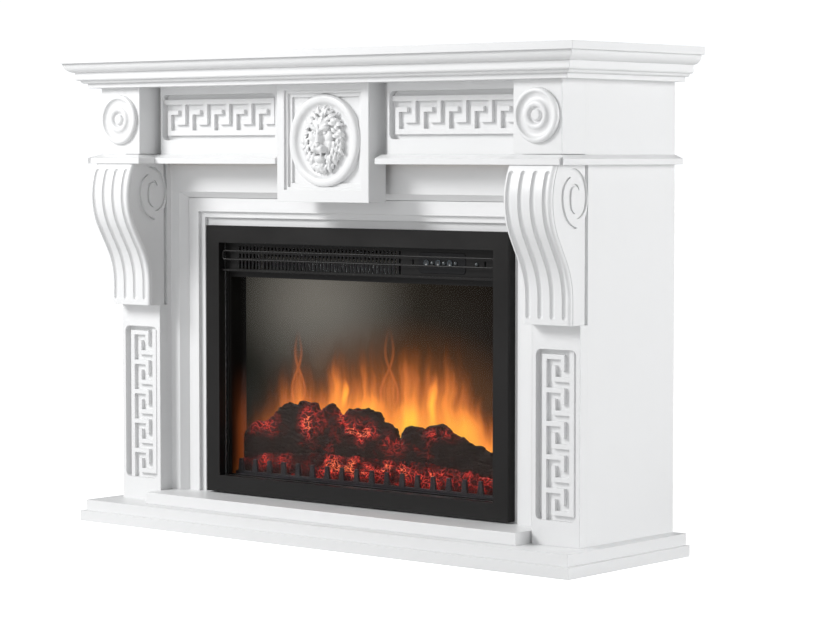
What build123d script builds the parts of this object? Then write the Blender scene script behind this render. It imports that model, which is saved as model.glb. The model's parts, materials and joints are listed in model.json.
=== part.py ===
"""Electric fireplace: a painted classical mantel with an electric firebox insert.

Millimetres, +X to the right seen from the front, +Y towards the wall, +Z up.
The origin is on the floor, in the middle of the overall width and depth.
Every function below makes one sub-part or one family of like sub-parts.
"""
from build123d import *
from math import asin, atan2, cos, degrees, pi, radians, sin, sqrt
import os

# ---------------------------------------------------------------- overall sizes
overall_width = 1410.0
overall_depth = 440.0
overall_height = 1026.0
front_y = -overall_depth / 2
wall_y = overall_depth / 2
shelf_half = overall_width / 2

# ---------------------------------------------------------------- heights of the mantel
shelf_thickness = 16.0
crown_height = 53.0
frieze_height = 145.5
architrave_height = 20.0
corbel_height = 310.5
plinth_height = 23.0
base_thickness = 23.5
hearth_thickness = 25.0

shelf_z = overall_height - shelf_thickness
crown_z = shelf_z - crown_height
frieze_z = crown_z - frieze_height
architrave_z = frieze_z - architrave_height
corbel_z = architrave_z - corbel_height
base_z = plinth_height + base_thickness
hearth_z = base_z + hearth_thickness

# ---------------------------------------------------------------- plan of the mantel
shelf_overhang = 71.0          # from the carcass side to the shelf edge
leg_width = 118.0
panel_thickness = 16.0
body_half = shelf_half - shelf_overhang
leg_inner = body_half - leg_width

carcass_y = front_y + 147.0    # front edges of the side panels
front_board_thickness = 10.0
pilaster_thickness = 23.5
frieze_panel_thickness = 24.5
end_block_depth = 73.5
centre_block_depth = 53.5
front_board_y = carcass_y - front_board_thickness
pilaster_y = carcass_y - pilaster_thickness
frieze_y = front_board_y - frieze_panel_thickness
end_block_y = front_board_y - end_block_depth
centre_block_y = front_board_y - centre_block_depth

infill_y = carcass_y + 44.5    # front face of the panel around the firebox
infill_thickness = 16.0
surround_depth = 32.5          # how far the outer surround stands out from the infill
surround_y = infill_y - surround_depth
surround_flat = 26.0
surround_bevel = 13.0
surround_bevel_depth = 16.5
surround_head = 35.5           # plain board above the mitred outer surround
inner_board = 30.0
inner_lip = 13.0
inner_step = 8.0
outer_width = surround_flat + surround_bevel
inner_width = inner_board + inner_lip
top_reveal = 17.0              # white panel seen above the firebox frame
side_reveal = 12.5             # and beside it

arris = 1.2                    # small rounding on sawn edges
joint_gap = 0.8                # paint line left open between two mouldings

# ---------------------------------------------------------------- blocks, key pattern, corbels
end_block_width = leg_width + 1.0
centre_block_half = 127.0
centre_block_drop = 244.0      # height of the centre block below the crown
frieze_panel_gap = 22.0        # beside the centre block
frieze_panel_end_gap = 12.0    # beside the end block

rosette_radius = 54.0
rosette_thickness = 10.0
medallion_radius = 96.0
medallion_thickness = 14.0
dish_floor = 5.0               # thickness of the medallion under the mask
dish_rim = 28.0                # from the edge of the medallion to the flat of its dish
mask_half_width = medallion_radius - dish_rim - 8.0
mask_half_height = medallion_radius - dish_rim - 3.0
mask_depth = 34.0
medallion_z = crown_z - 117.0
recess_half_width = 107.0
recess_top_border = 13.0
recess_bottom_border = 25.0
recess_steps = ((0.0, 5.0), (6.0, 10.0), (14.0, 15.0))   # inset, depth
seat_clearance = 0.3           # round piece in a round rebate

key_bar = 9.6
key_gap = 12.3
key_rail = 11.0
key_margin = 10.0              # channel between the key and the pocket wall
frieze_border = 8.0            # least plain margin at the ends of a frieze pocket
pilaster_border = 45.0         # and above and below a pilaster pocket
pocket_depth = 15.0
key_sink = 7.0                 # key face below the board face
pocket_corner = 12.0
key_pitch = 3 * (key_bar + key_gap)
key_width = 2 * key_rail + 2 * key_bar + 3 * key_gap
pocket_width = key_width + 2 * key_margin

corbel_bulge_radius = 147.0
corbel_bulge_drop = 69.5       # from the corbel top to the bulge centre
corbel_bulge_y = front_board_y - 110.0
corbel_lean = 29.7             # degrees, where the bulge runs into the neck
corbel_neck_length = 51.0
corbel_foot_height = 48.0
corbel_round = 7.0
corbel_quirk = 1.0             # step between the rounded edge and the cheek
corbel_cheek_setback = 8.0
corbel_cheek_thickness = 8.0
flute_radius = 6.5
flute_depth = 5.0
flute_pitch = 29.5
flute_count = 4
flute_end = 10.0               # plain margin above and below each flute

# ---------------------------------------------------------------- firebox insert
frame_sheet = 2.0
frame_depth = 21.0
frame_gap = 3.5                # above the hearth
frame_border = 40.5
frame_top_border = 37.0
window_rise = 36.0             # window sill above the frame's lower edge
casing_side = 7.0              # casing wall outside the window edge
casing_sheet = 1.5
rear_space = 68.5              # from the casing back to the wall
flange_reach = 24.0
casing_rise = 9.0
infill_clearance = 6.0

frame_z = hearth_z + frame_gap
frame_top = architrave_z - surround_head - outer_width - inner_width - top_reveal
frame_half = leg_inner - outer_width - inner_width - side_reveal
frame_y = infill_y - frame_depth
window_z = frame_z + window_rise
window_top = frame_top - frame_top_border
window_half = frame_half - frame_border
casing_half = window_half + casing_side
casing_z = frame_z + casing_rise
casing_top = frame_top - 15.0
inner_half = casing_half - casing_sheet
inner_z = casing_z + casing_sheet
inner_top = casing_top - casing_sheet
casing_back = wall_y - rear_space

grille_y = infill_y + 1.5
grille_sheet = 1.5
grille_z = window_top - 60.0
slot_width = 5.4
slot_pitch = 10.6
slot_start = -window_half + 40.0
slot_rows = ((3.5, 18.0), (26.5, 10.0), (42.0, 10.0))    # height above the grille edge, length
bar_diameter = 4.0
bar_y = grille_y - 13.0
bar_levels = (23.5, 42.0)      # above the lower edge of the grille
bar_corner = 6.0

control_x = window_half - 150.0
control_width = 124.0
control_height = 43.0
control_rise = 29.5            # centre of the controls above the grille edge
control_thickness = 1.5
button_diameter = 14.0
button_clearance = 0.3
button_travel = 1.2
button_pitch = 31.0
button_first = -40.0           # first button from the middle of the control plate
button_proud = 2.0
switch_y = grille_y + 10.0     # tip of the switch plunger behind each button
lens_diameter = 8.6
receiver_x = control_x + 91.0
slot_end = control_x - 113.0
slot_count = int((slot_end - slot_start) // slot_pitch) + 1

tray_z = window_top - 69.0
glass_thickness = 4.0
glass_y = grille_y + 12.0
bezel_thickness = 4.0
bezel_width = 6.0
cheek_sheet = 1.0
screen_y = glass_y + 57.0
screen_thickness = 3.0

rod_y = screen_y + 52.0
rod_z = inner_z + 62.0
rod_half = inner_half - 66.5
rod_radius = 4.0
paddle_reach = 24.0
journal_clearance = 0.05

blower_y = infill_y + 99.0
blower_z = window_top - 20.0
blower_x0 = -inner_half + 66.5
blower_length = control_x - 151.0 - blower_x0    # the motor stands between it and the board
impeller_radius = 17.0
impeller_blades = 18
blower_gap = 3.0
shaft_radius = 3.0

screw_hole = 2.2
screw_radius = 2.0
gland_x = casing_half - 88.0
gland_z = casing_z + 60.0
gland_radius = 9.0
vent_columns, vent_rows = 12, 3

rail_thickness = 18.0
rail_height = 80.0
wall_hole_spacing = 700.0
wall_hole_radius = 3.0

PARTS = {}


# ---------------------------------------------------------------- small helpers
def slab(x0, x1, y0, y1, z0, z1):
    """A box between two corners."""
    size = (x1 - x0, y1 - y0, z1 - z0)
    return Pos((x0 + x1) / 2, (y0 + y1) / 2, (z0 + z1) / 2) * Box(*size)


def both(solid):
    """A solid and its mirror image on the other side of the middle plane."""
    return [solid, mirror(solid, Plane.YZ)]


def along_x(face, x0, x1):
    """A profile drawn as (y, z), run along X."""
    return extrude(Plane.YZ.offset(x0) * face, x1 - x0)


def along_y(face, y0, y1):
    """A profile drawn as (x, z), run along Y."""
    plane = Plane(origin=(0, y1, 0), x_dir=(1, 0, 0), z_dir=(0, -1, 0))
    return extrude(plane * face, y1 - y0)


def footprint(points, z0, z1):
    """A prism on a plan outline."""
    return extrude(Pos(0, 0, z0) * make_face(Polyline(*points, close=True)), z1 - z0)


def rod(x0, x1, y, z, radius):
    """A round bar along X."""
    return Pos((x0 + x1) / 2, y, z) * Rot(0, 90, 0) * Cylinder(radius, x1 - x0)


def pin(x, y0, y1, z, radius):
    """A round bar along Y."""
    return Pos(x, (y0 + y1) / 2, z) * Rot(90, 0, 0) * Cylinder(radius, y1 - y0)


def turned(curve, x, y, z):
    """A turned piece: (radius, height) outline, its back on y, facing the room."""
    body = revolve(Plane.XZ * make_face(curve), Axis.Z)
    return Pos(x, y, z) * Rot(90, 0, 0) * body


def save(node, solids):
    """Writes one node, as one solid or a group of separate solids."""
    solids = solids if isinstance(solids, list) else [solids]
    single = [piece for item in solids for piece in item.solids()]
    shape = single[0] if len(single) == 1 else Compound(children=single)
    PARTS[node] = shape
    export_step(shape, f"parts/{node}.step")


# ---------------------------------------------------------------- shelf and crown
def make_shelf():
    shelf = slab(-shelf_half, shelf_half, front_y, wall_y, shelf_z, overall_height)
    return fillet(shelf.edges().filter_by(Axis.Z).group_by(Axis.Y)[0], arris)


def crown_profile():
    """(inset from the shelf edge, height) outline of the crown, bottom at zero."""
    reach = front_board_y - front_y
    top_round = 19.5
    fascia = 7.0 + top_round
    fascia_foot = 21.0
    small_round = 5.0
    bead_top = 9.7
    lower_start = 35.0
    lower_round = fascia_foot - small_round - bead_top
    bead = 46.5
    outline = CenterArc((fascia, crown_height), top_round, 180, 90)
    outline += Line((fascia, crown_height - top_round), (fascia, fascia_foot))
    outline += CenterArc((fascia + small_round, fascia_foot), small_round, 180, 90)
    outline += Line((fascia + small_round, fascia_foot - small_round),
                    (lower_start, fascia_foot - small_round))
    outline += CenterArc((lower_start + lower_round, fascia_foot - small_round), lower_round, 180, 90)
    outline += Polyline((lower_start + lower_round, bead_top), (bead, bead_top), (bead, 0), (reach, 0),
                        (reach, crown_height), (fascia - top_round, crown_height))
    return make_face(outline)


def make_crown():
    """Front and side mouldings, mitred at the front corners."""
    profile = Pos(0, crown_z) * crown_profile()
    front = along_x(Pos(front_y, 0) * profile, -shelf_half, shelf_half)
    left = along_y(Pos(-shelf_half, 0) * profile, front_y, wall_y)
    sides = both(left)
    corner_y = front_y + shelf_overhang
    front_plan = [(-shelf_half, front_y), (shelf_half, front_y), (body_half, corner_y),
                  (body_half, front_board_y), (-body_half, front_board_y), (-body_half, corner_y)]
    left_plan = [(-shelf_half, front_y), (-body_half, corner_y), (-body_half, wall_y), (-shelf_half, wall_y)]
    front_piece = front & footprint(front_plan, crown_z, shelf_z)
    left_piece = sides[0] & footprint(left_plan, crown_z, shelf_z)
    return [front_piece] + both(left_piece)


# ---------------------------------------------------------------- architrave
def architrave_inset(face_height=12.0, reach=20.0):
    """(inset, height) outline of the architrave: a flat face below a bevel."""
    depth = 150.0
    points = [(0, 0), (0, face_height), (reach, architrave_height), (depth, architrave_height), (depth, 0)]
    return make_face(Polyline(*points, close=True))


def make_architrave():
    """Right-hand architrave: the run under the frieze, the cap round the block, the side return."""
    reach = 20.0
    over = reach + 3.0
    profile = Pos(0, architrave_z) * architrave_inset(reach=reach)
    block_inner = body_half - end_block_width
    cap_outer = body_half + reach
    cap_inner = block_inner - reach
    cap_y = end_block_y - over
    run_y = frieze_y - over
    run_start = centre_block_half + frieze_panel_gap / 2
    front = along_x(Pos(cap_y, 0) * profile, cap_inner, cap_outer)
    inner = along_y(Pos(cap_inner, 0) * profile, cap_y, wall_y)
    outer = mirror(along_y(profile, cap_y, wall_y), Plane.YZ)
    outer = Pos(cap_outer, 0, 0) * outer
    cap_plan = [(cap_inner, cap_y), (cap_outer, cap_y), (body_half, cap_y + reach),
                (body_half, front_board_y), (cap_inner, front_board_y)]
    side_plan = [(cap_outer, cap_y), (cap_outer, wall_y), (body_half, wall_y), (body_half, cap_y + reach)]
    cap = front & inner & footprint(cap_plan, architrave_z, frieze_z)
    side = outer & footprint(side_plan, architrave_z, frieze_z)
    run = along_x(Pos(run_y, 0) * profile, run_start, block_inner)
    run = run & slab(run_start, block_inner, run_y, front_board_y, architrave_z, frieze_z)
    return [cap, side, (run - cap).solids().sort_by(SortBy.VOLUME)[-1]]


# ---------------------------------------------------------------- frieze
def key_run(board_length, border):
    """Number of key units that a board takes, and the length of their run."""
    units = int((board_length - 2 * (border + key_margin) + key_gap) // key_pitch)
    return units, units * key_pitch - key_gap


def key_combs(units, length):
    """The two interlocking combs of the key pattern, drawn upright from the top left corner."""
    hook = key_rail + key_gap
    far = hook + key_bar + key_gap
    rail = Rectangle(key_rail, length + key_margin, align=(Align.MIN, Align.MAX))
    left = rail
    right = Pos(key_width - key_rail, key_margin) * rail
    long_bar = Rectangle(far + key_bar, key_bar, align=(Align.MIN, Align.MAX))
    short_bar = Rectangle(key_bar, 2 * key_bar + key_gap, align=(Align.MIN, Align.MAX))
    for unit in range(units):
        top = -unit * key_pitch
        left += Pos(0, top) * long_bar
        left += Pos(far, top) * short_bar
        low = top - 2 * (key_bar + key_gap)
        right += Pos(key_width - far - key_bar, low) * long_bar
        right += Pos(hook, low + key_bar + key_gap) * short_bar
    return left, right


def make_key(x, board_y, z, turn, board_length, border):
    """Pocket cutter and the combs that stand in it, their middle at (x, z), turned by turn degrees."""
    units, length = key_run(board_length, border)
    outline = RectangleRounded(pocket_width, length + 2 * key_margin, pocket_corner)
    outline = Pos(key_width / 2, -length / 2) * outline
    place = Pos(x, board_y + pocket_depth, z) * Rot(90, 0, 0) * Rot(0, 0, turn)
    place = place * Pos(-key_width / 2, length / 2, 0)
    pocket = place * extrude(outline, pocket_depth + 5)
    combs = [place * extrude(comb & outline, pocket_depth - key_sink) for comb in key_combs(units, length)]
    return pocket, combs


def make_frieze_panel(side):
    inner = centre_block_half + frieze_panel_gap
    outer = body_half - end_block_width - frieze_panel_end_gap
    board = slab(inner, outer, frieze_y, front_board_y, frieze_z, crown_z)
    upright = board.edges().filter_by(Axis.Z).group_by(Axis.Y)[0]
    board = fillet(upright, 6.0)
    if side < 0:
        board = mirror(board, Plane.YZ)
    middle = side * (inner + outer) / 2
    pocket_z = (frieze_z + crown_z) / 2 + 7.0
    pocket, combs = make_key(middle, frieze_y, pocket_z, -90, outer - inner, frieze_border)
    return board - pocket, combs


def make_backboard():
    return slab(-body_half, body_half, front_board_y, carcass_y, architrave_z, shelf_z)


def make_end_block():
    shadow = 1.0
    block = slab(body_half - end_block_width, body_half, end_block_y, front_board_y,
                 frieze_z + shadow, crown_z)
    return fillet(block.edges().filter_by(Axis.Z).group_by(Axis.Y)[0], 2.0)


def make_rosette(x):
    rim = rosette_thickness
    outline = Polyline((0, 0), (rosette_radius, 0), (rosette_radius, rim - 5.5))
    outline += ThreePointArc((rosette_radius, rim - 5.5), (50.5, rim - 1.0), (45.5, rim - 0.8))
    outline += ThreePointArc((45.5, rim - 0.8), (36.0, 3.0), (28.5, 5.6))
    outline += ThreePointArc((28.5, 5.6), (22.5, 9.2), (16.5, 5.6))
    outline += Polyline((16.5, 5.6), (15.0, 2.0), (12.0, 2.0), (11.0, 6.5))
    outline += Polyline((11.0, 6.5), (8.5, 8.4), (0, 8.4), (0, 0))
    return turned(outline, x, end_block_y, (frieze_z + crown_z) / 2 + 3.0)


def make_centre_block():
    bottom = crown_z - centre_block_drop
    block = slab(-centre_block_half, centre_block_half, centre_block_y, front_board_y, bottom, crown_z)
    block = fillet(block.edges().filter_by(Axis.Z).group_by(Axis.Y)[0], 2.0)
    for inset, depth in recess_steps:
        half = recess_half_width - inset
        block -= slab(-half, half, centre_block_y - 1, centre_block_y + depth,
                      bottom + recess_bottom_border + inset, crown_z - recess_top_border - inset)
    floor = centre_block_y + recess_steps[-1][1]
    return block - pin(0, centre_block_y - 1, floor, medallion_z, medallion_radius + seat_clearance)


def make_medallion():
    """Turned ring with a shallow dish that carries the mask."""
    top = medallion_thickness
    radius = medallion_radius
    outline = Polyline((0, 0), (radius, 0), (radius, top - 7.0))
    outline += ThreePointArc((radius, top - 7.0), (radius - 2.5, top - 2.0), (radius - 8.5, top))
    outline += ThreePointArc((radius - 8.5, top), (radius - 15.0, top - 1.2), (radius - 19.0, top - 4.5))
    flat = radius - dish_rim
    outline += ThreePointArc((radius - 19.0, top - 4.5), (radius - 22.5, 6.4), (flat, dish_floor))
    outline += Polyline((flat, dish_floor), (0, dish_floor), (0, 0))
    return turned(outline, 0, centre_block_y + recess_steps[-1][1], medallion_z)


def make_lion_mask():
    """Plain relief that stands for the carved head: a flattened dome in the dish."""
    back = centre_block_y + recess_steps[-1][1] - dish_floor
    radius = medallion_radius
    dome = Pos(0, back, medallion_z) * scale(Sphere(1.0), by=(mask_half_width, mask_depth, mask_half_height))
    return dome & slab(-radius, radius, back - mask_depth, back, medallion_z - radius, medallion_z + radius)


# ---------------------------------------------------------------- corbels
def corbel_front(shift, z_top, z_bottom):
    """The S-shaped front line, as (y, z), moved by shift in y."""
    centre_z = architrave_z - corbel_bulge_drop
    centre_y = corbel_bulge_y + corbel_bulge_radius + shift
    lean = radians(corbel_lean)
    rise = asin((z_top - centre_z) / corbel_bulge_radius)
    start = (centre_y - corbel_bulge_radius * cos(lean), centre_z - corbel_bulge_radius * sin(lean))
    neck = (start[0] + corbel_neck_length * sin(lean), start[1] - corbel_neck_length * cos(lean))
    foot_z = corbel_z + corbel_foot_height
    foot_radius = (neck[1] - foot_z) / sin(lean)
    foot_y = neck[0] + foot_radius * (1 - cos(lean))
    sweep_angle = degrees(rise) + corbel_lean
    curve = CenterArc((centre_y, centre_z), corbel_bulge_radius, 180 - degrees(rise), sweep_angle)
    curve += Line(start, neck)
    curve += CenterArc((foot_y - foot_radius, foot_z), foot_radius, corbel_lean, -corbel_lean)
    curve += Line((foot_y, foot_z), (foot_y, z_bottom))
    top_y = centre_y - corbel_bulge_radius * cos(rise)
    return curve, top_y, foot_y


def corbel_section(shift, back):
    curve, top_y, foot_y = corbel_front(shift, architrave_z, corbel_z)
    closing = Polyline((foot_y, corbel_z), (back, corbel_z), (back, architrave_z), (top_y, architrave_z))
    return make_face(curve + closing)


def volute_centre():
    return front_board_y - 29.0, architrave_z - 66.5


def crescent(points, width):
    """A curved groove outline that swells to its full width in the middle."""
    middle = Spline(*points)
    steps = 12
    outer, inner = [], []
    for step in range(steps + 1):
        t = step / steps
        here, along = middle @ t, middle % t
        half = width / 2 * max(sin(pi * t), 0.0) ** 0.6
        outer.append((here.X - along.Y * half, here.Y + along.X * half))
        inner.append((here.X + along.Y * half, here.Y - along.X * half))
    return make_face(Spline(*outer) + Spline(*inner))


def volute_grooves():
    """Three grooves that read as one scroll, as (y, z) faces."""
    y, z = volute_centre()
    outer_back = [(y + 2, z - 37), (y + 24, z - 24), (y + 32, z + 4), (y + 13, z + 49), (y - 17, z + 58)]
    outer_front = [(y - 16, z + 43), (y - 39, z + 26), (y - 45, z + 1), (y - 30, z - 40), (y + 4, z - 55)]
    eye = [(y + 9, z + 15), (y + 2, z + 27), (y - 11, z + 25), (y - 18, z), (y - 14, z - 20), (y - 2, z - 28)]
    return [crescent(outer_back, 9.0), crescent(outer_front, 11.0), crescent(eye, 7.0)]


def make_corbel():
    """Right-hand corbel: fluted S-shaped body, cheeks with scrolls, a narrower back."""
    inner, outer = leg_inner, body_half
    core = along_x(corbel_section(0, front_board_y), inner + corbel_quirk, outer - corbel_quirk)
    front_edges = [edge for edge in core.edges()
                   if edge.center().Y < front_board_y - 20 and abs(edge.length) > 20
                   and edge.bounding_box().size.X < 0.1 and edge.bounding_box().size.Z > 20]
    core = fillet(front_edges, corbel_round)
    cheek = corbel_section(corbel_cheek_setback, front_board_y)
    volute_y, volute_z = volute_centre()
    boss = Pos(volute_y - 6.0, volute_z + 1.0) * Ellipse(44.0, 62.0)
    cheek += boss & (Pos(volute_y, volute_z) * Rectangle(200, 2 * 64.0))
    grooves = volute_grooves()
    for x in (inner, outer - corbel_cheek_thickness):
        plate = along_x(cheek, x, x + corbel_cheek_thickness)
        face_x = inner if x == inner else outer
        for groove in grooves:
            plate -= along_x(groove, face_x - 4.0, face_x + 4.0)
        core_part = slab(x, x + corbel_cheek_thickness, front_y, wall_y, corbel_z, architrave_z)
        core = core - (core_part & along_x(cheek, x, x + corbel_cheek_thickness)) + plate
    back = slab(inner + corbel_cheek_thickness, outer - corbel_cheek_thickness, front_board_y, carcass_y,
                corbel_z, architrave_z)
    core = core + back
    proud = flute_radius - flute_depth
    z_top = architrave_z - flute_end - flute_radius
    z_bottom = corbel_z + flute_end + flute_radius
    path, top_y, foot_y = corbel_front(-proud, z_top, z_bottom)
    first = (inner + outer) / 2 - flute_pitch * (flute_count - 1) / 2
    for index in range(flute_count):
        x = first + index * flute_pitch
        line = Plane.YZ.offset(x) * path
        wire = Wire(line.edges())
        section = Plane(origin=wire @ 0, z_dir=wire % 0) * Circle(flute_radius)
        groove = sweep(section, path=wire)
        core = core - groove
        for y, z in ((top_y, z_top), (foot_y, z_bottom)):
            core = core - Pos(x, y, z) * Sphere(flute_radius)
    return core


# ---------------------------------------------------------------- pilasters and surround
def make_pilaster():
    board = slab(leg_inner, body_half, pilaster_y, carcass_y, base_z, corbel_z)
    board = fillet(board.edges().filter_by(Axis.Z).group_by(Axis.Y)[0], arris)
    return board


def mitred_frame(section_points, outer_half, outer_top, inner_half, inner_top, low, extra_top):
    """Two legs and a top of one moulding. section_points are (inset from outer edge, y)."""
    leg_points = [(outer_half - inset, y) for inset, y in section_points]
    leg = footprint(leg_points, low, outer_top)
    top_points = [(y, outer_top - inset) for inset, y in section_points]
    top = along_x(make_face(Polyline(*top_points, close=True)), -outer_half, outer_half)
    drop = inner_top - low
    slope = [(inner_half - drop, low), (outer_half, outer_top), (outer_half, low)]
    keep_leg = along_y(make_face(Polyline(*slope, close=True)), front_y, wall_y)
    leg = leg & keep_leg
    top = top - keep_leg - mirror(keep_leg, Plane.YZ)
    if extra_top > 0:
        ys = [y for _, y in section_points]
        top = top + slab(-outer_half, outer_half, min(ys), max(ys), outer_top, outer_top + extra_top)
    return both(leg) + [top]


def make_surround():
    """Outer casing with its bevel, and the stepped inner moulding."""
    first_y = surround_y + surround_bevel_depth
    outer_points = [(0, surround_y), (surround_flat, surround_y), (outer_width, first_y),
                    (outer_width, infill_y), (0, infill_y)]
    inner_points = [(joint_gap, first_y), (inner_board, first_y), (inner_board, first_y + inner_step),
                    (inner_width, first_y + inner_step), (inner_width, infill_y), (joint_gap, infill_y)]
    mid_half = leg_inner - outer_width
    low_half = mid_half - inner_width
    inner_top = frame_top + top_reveal
    mid_top = inner_top + inner_width
    outer_top = mid_top + outer_width
    outer = mitred_frame(outer_points, leg_inner, outer_top, mid_half, mid_top, hearth_z, surround_head)
    inner = mitred_frame(inner_points, mid_half, mid_top, low_half, inner_top, hearth_z, 0)
    return outer, inner


def make_infill():
    panel = slab(-leg_inner, leg_inner, infill_y, infill_y + infill_thickness, base_z, architrave_z)
    clear = infill_clearance
    return panel - slab(-casing_half - clear, casing_half + clear, infill_y - 1,
                        infill_y + infill_thickness + 1, casing_z - clear, casing_top + clear)


# ---------------------------------------------------------------- carcass
def make_side_panel():
    return slab(body_half - panel_thickness, body_half, carcass_y, wall_y, base_z, shelf_z)


def make_leg_panel():
    return slab(leg_inner, leg_inner + panel_thickness, carcass_y, wall_y, base_z, shelf_z)


def make_lintel():
    return slab(-leg_inner, leg_inner, carcass_y, infill_y + 60.0, architrave_z, architrave_z + 18.0)


def make_rear_rail():
    """Top rail at the wall, with two holes for wall screws."""
    rail = slab(-leg_inner, leg_inner, wall_y - rail_thickness, wall_y, shelf_z - rail_height, shelf_z)
    for x in (-wall_hole_spacing / 2, wall_hole_spacing / 2):
        rail -= pin(x, wall_y - rail_thickness - 1, wall_y + 1, shelf_z - rail_height / 2, wall_hole_radius)
    return rail


def make_base_board():
    half = shelf_half - 38.4
    board = slab(-half, half, front_y + 41.0, wall_y, plinth_height, base_z)
    return fillet(board.edges().filter_by(Axis.Z).group_by(Axis.Y)[0], arris)


def make_plinth_rails():
    """Front and side rails, mitred, and a rear rail between them."""
    half = shelf_half - 29.5
    plinth_y = front_y + 31.0
    rail = 70.0
    front_plan = [(-half, plinth_y), (half, plinth_y), (half - rail, plinth_y + rail),
                  (-half + rail, plinth_y + rail)]
    side_plan = [(half, plinth_y), (half, wall_y), (half - rail, wall_y), (half - rail, plinth_y + rail)]
    front = footprint(front_plan, 0, plinth_height)
    side = footprint(side_plan, 0, plinth_height)
    rear = slab(-half + rail, half - rail, wall_y - rail, wall_y, 0, plinth_height)
    return [front, rear] + both(side)


def make_hearth():
    side_gap = 3.0
    half = leg_inner - side_gap
    hearth = slab(-half, half, front_y + 76.0, infill_y, base_z, hearth_z)
    return fillet(hearth.edges().filter_by(Axis.X).group_by(Axis.Y)[0], arris)


def make_corner_brackets():
    """Steel angles that tie the shelf to the leg panels."""
    arm, width, steel = 30.0, 25.0, 2.0
    brackets = []
    for y in (60.0, 150.0):
        angle = slab(leg_inner - arm, leg_inner, y, y + width, shelf_z - steel, shelf_z)
        angle += slab(leg_inner - steel, leg_inner, y, y + width, shelf_z - arm, shelf_z)
        brackets += both(angle)
    return brackets


def make_bearers():
    """Two battens that carry the firebox on the base board."""
    outside = casing_half - 118.0
    return both(slab(outside - 40.0, outside, infill_y + infill_thickness, casing_back, base_z, casing_z))


# ---------------------------------------------------------------- firebox sheet metal
def make_frame():
    """Pressed front frame: a face with returned edges all round and round the window."""
    half = frame_half
    frame = slab(-half, half, frame_y, infill_y, frame_z, frame_top)
    frame = fillet(frame.edges().filter_by(Axis.Z).group_by(Axis.Y)[0], 4.0)
    cavity = slab(-half + frame_sheet, half - frame_sheet, frame_y + frame_sheet, infill_y + 1,
                  frame_z + frame_sheet, frame_top - frame_sheet)
    lip = frame_depth - casing_sheet
    ring = slab(-window_half - casing_sheet, window_half + casing_sheet, frame_y, frame_y + lip,
                window_z - casing_sheet, window_top + casing_sheet)
    window = slab(-window_half, window_half, frame_y - 1, infill_y + 1, window_z, window_top)
    return frame - (cavity - ring) - window


def make_casing():
    """Wrapper of the insert with its front flange."""
    back = casing_back
    tube = slab(-casing_half, casing_half, infill_y, back, casing_z, casing_top)
    tube -= slab(-inner_half, inner_half, infill_y - 1, back + 1, inner_z, inner_top)
    reach = flange_reach
    flange_low = casing_z - 2.0
    flange = slab(-casing_half - reach, casing_half + reach, infill_y - casing_sheet, infill_y,
                  flange_low, casing_top + 8.0)
    flange -= slab(-window_half, window_half, infill_y - 5, infill_y + 5, window_z, window_top)
    return tube + flange


def make_rear_cover():
    cover = slab(-casing_half, casing_half, casing_back, casing_back + casing_sheet, casing_z, casing_top)
    for column in range(vent_columns):
        for row in range(vent_rows):
            x = (column - (vent_columns - 1) / 2) * 20.0
            z = blower_z - 40.0 + row * 26.0
            cover -= slab(x - 3, x + 3, casing_back - 1, casing_back + 5, z, z + 18.0)
    for x, z in rear_screw_places():
        cover -= pin(x, casing_back - 1, casing_back + 5, z, screw_hole)
    return cover - pin(gland_x, casing_back - 1, casing_back + 5, gland_z, gland_radius + 0.2)


def rear_screw_places():
    inset = 16.0
    xs = (-casing_half + inset, 0.0, casing_half - inset)
    zs = (casing_z + inset, casing_top - inset)
    return [(x, z) for x in xs for z in zs]


def make_screws():
    """Pan-head screws of the rear cover, one solid each."""
    screws = []
    for x, z in rear_screw_places():
        head = pin(x, casing_back + casing_sheet, casing_back + casing_sheet + 2.4, z, 4.0)
        head = fillet(head.edges().group_by(Axis.Y)[-1], 1.2)
        screws.append(head + pin(x, casing_back - 6.0, casing_back + casing_sheet, z, screw_radius))
    return screws


def make_gland():
    """Cord inlet: a bushing with a bore, nutted on the rear cover."""
    outside = pin(gland_x, casing_back + casing_sheet, casing_back + 12.0, gland_z, 13.0)
    outside = fillet(outside.edges().group_by(Axis.Y)[-1], 2.0)
    neck = pin(gland_x, casing_back - 8.0, casing_back + casing_sheet, gland_z, gland_radius)
    nut = pin(gland_x, casing_back - 6.0, casing_back, gland_z, 13.0)
    return outside + neck + nut - pin(gland_x, casing_back - 10, casing_back + 20, gland_z, 4.2)


def make_bezel():
    """Frame that holds the glass, with a top flange under the grille and cheeks back to the screen."""
    y = glass_y - bezel_thickness
    top = grille_z - 0.5
    half = inner_half
    bezel = slab(-half, half, y, glass_y, inner_z, top)
    bezel -= slab(-window_half + bezel_width, window_half - bezel_width, y - 1, glass_y + 1,
                  window_z + 2.0, window_top - 75.0)
    bezel += slab(-half, half, grille_y + grille_sheet, glass_y, top - 1.5, top)
    for rib in both(slab(window_half - 5.0, window_half - 2.0, y - 6.0, y, window_z + 1.0, top - 1.5)):
        bezel += rib
    for cheek in both(slab(half - cheek_sheet, half, glass_y, screen_y, inner_z, tray_z)):
        bezel += cheek
    return bezel


def make_glass():
    inset = 1.0
    return slab(-window_half + inset, window_half - inset, glass_y, glass_y + glass_thickness,
                window_z - 4.0, window_top - 69.5)


def make_tray():
    """Sheet between the fire chamber and the heater."""
    return slab(-inner_half, inner_half, glass_y + 3.0, casing_back, tray_z + 0.5, tray_z + 2.0)


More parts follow.
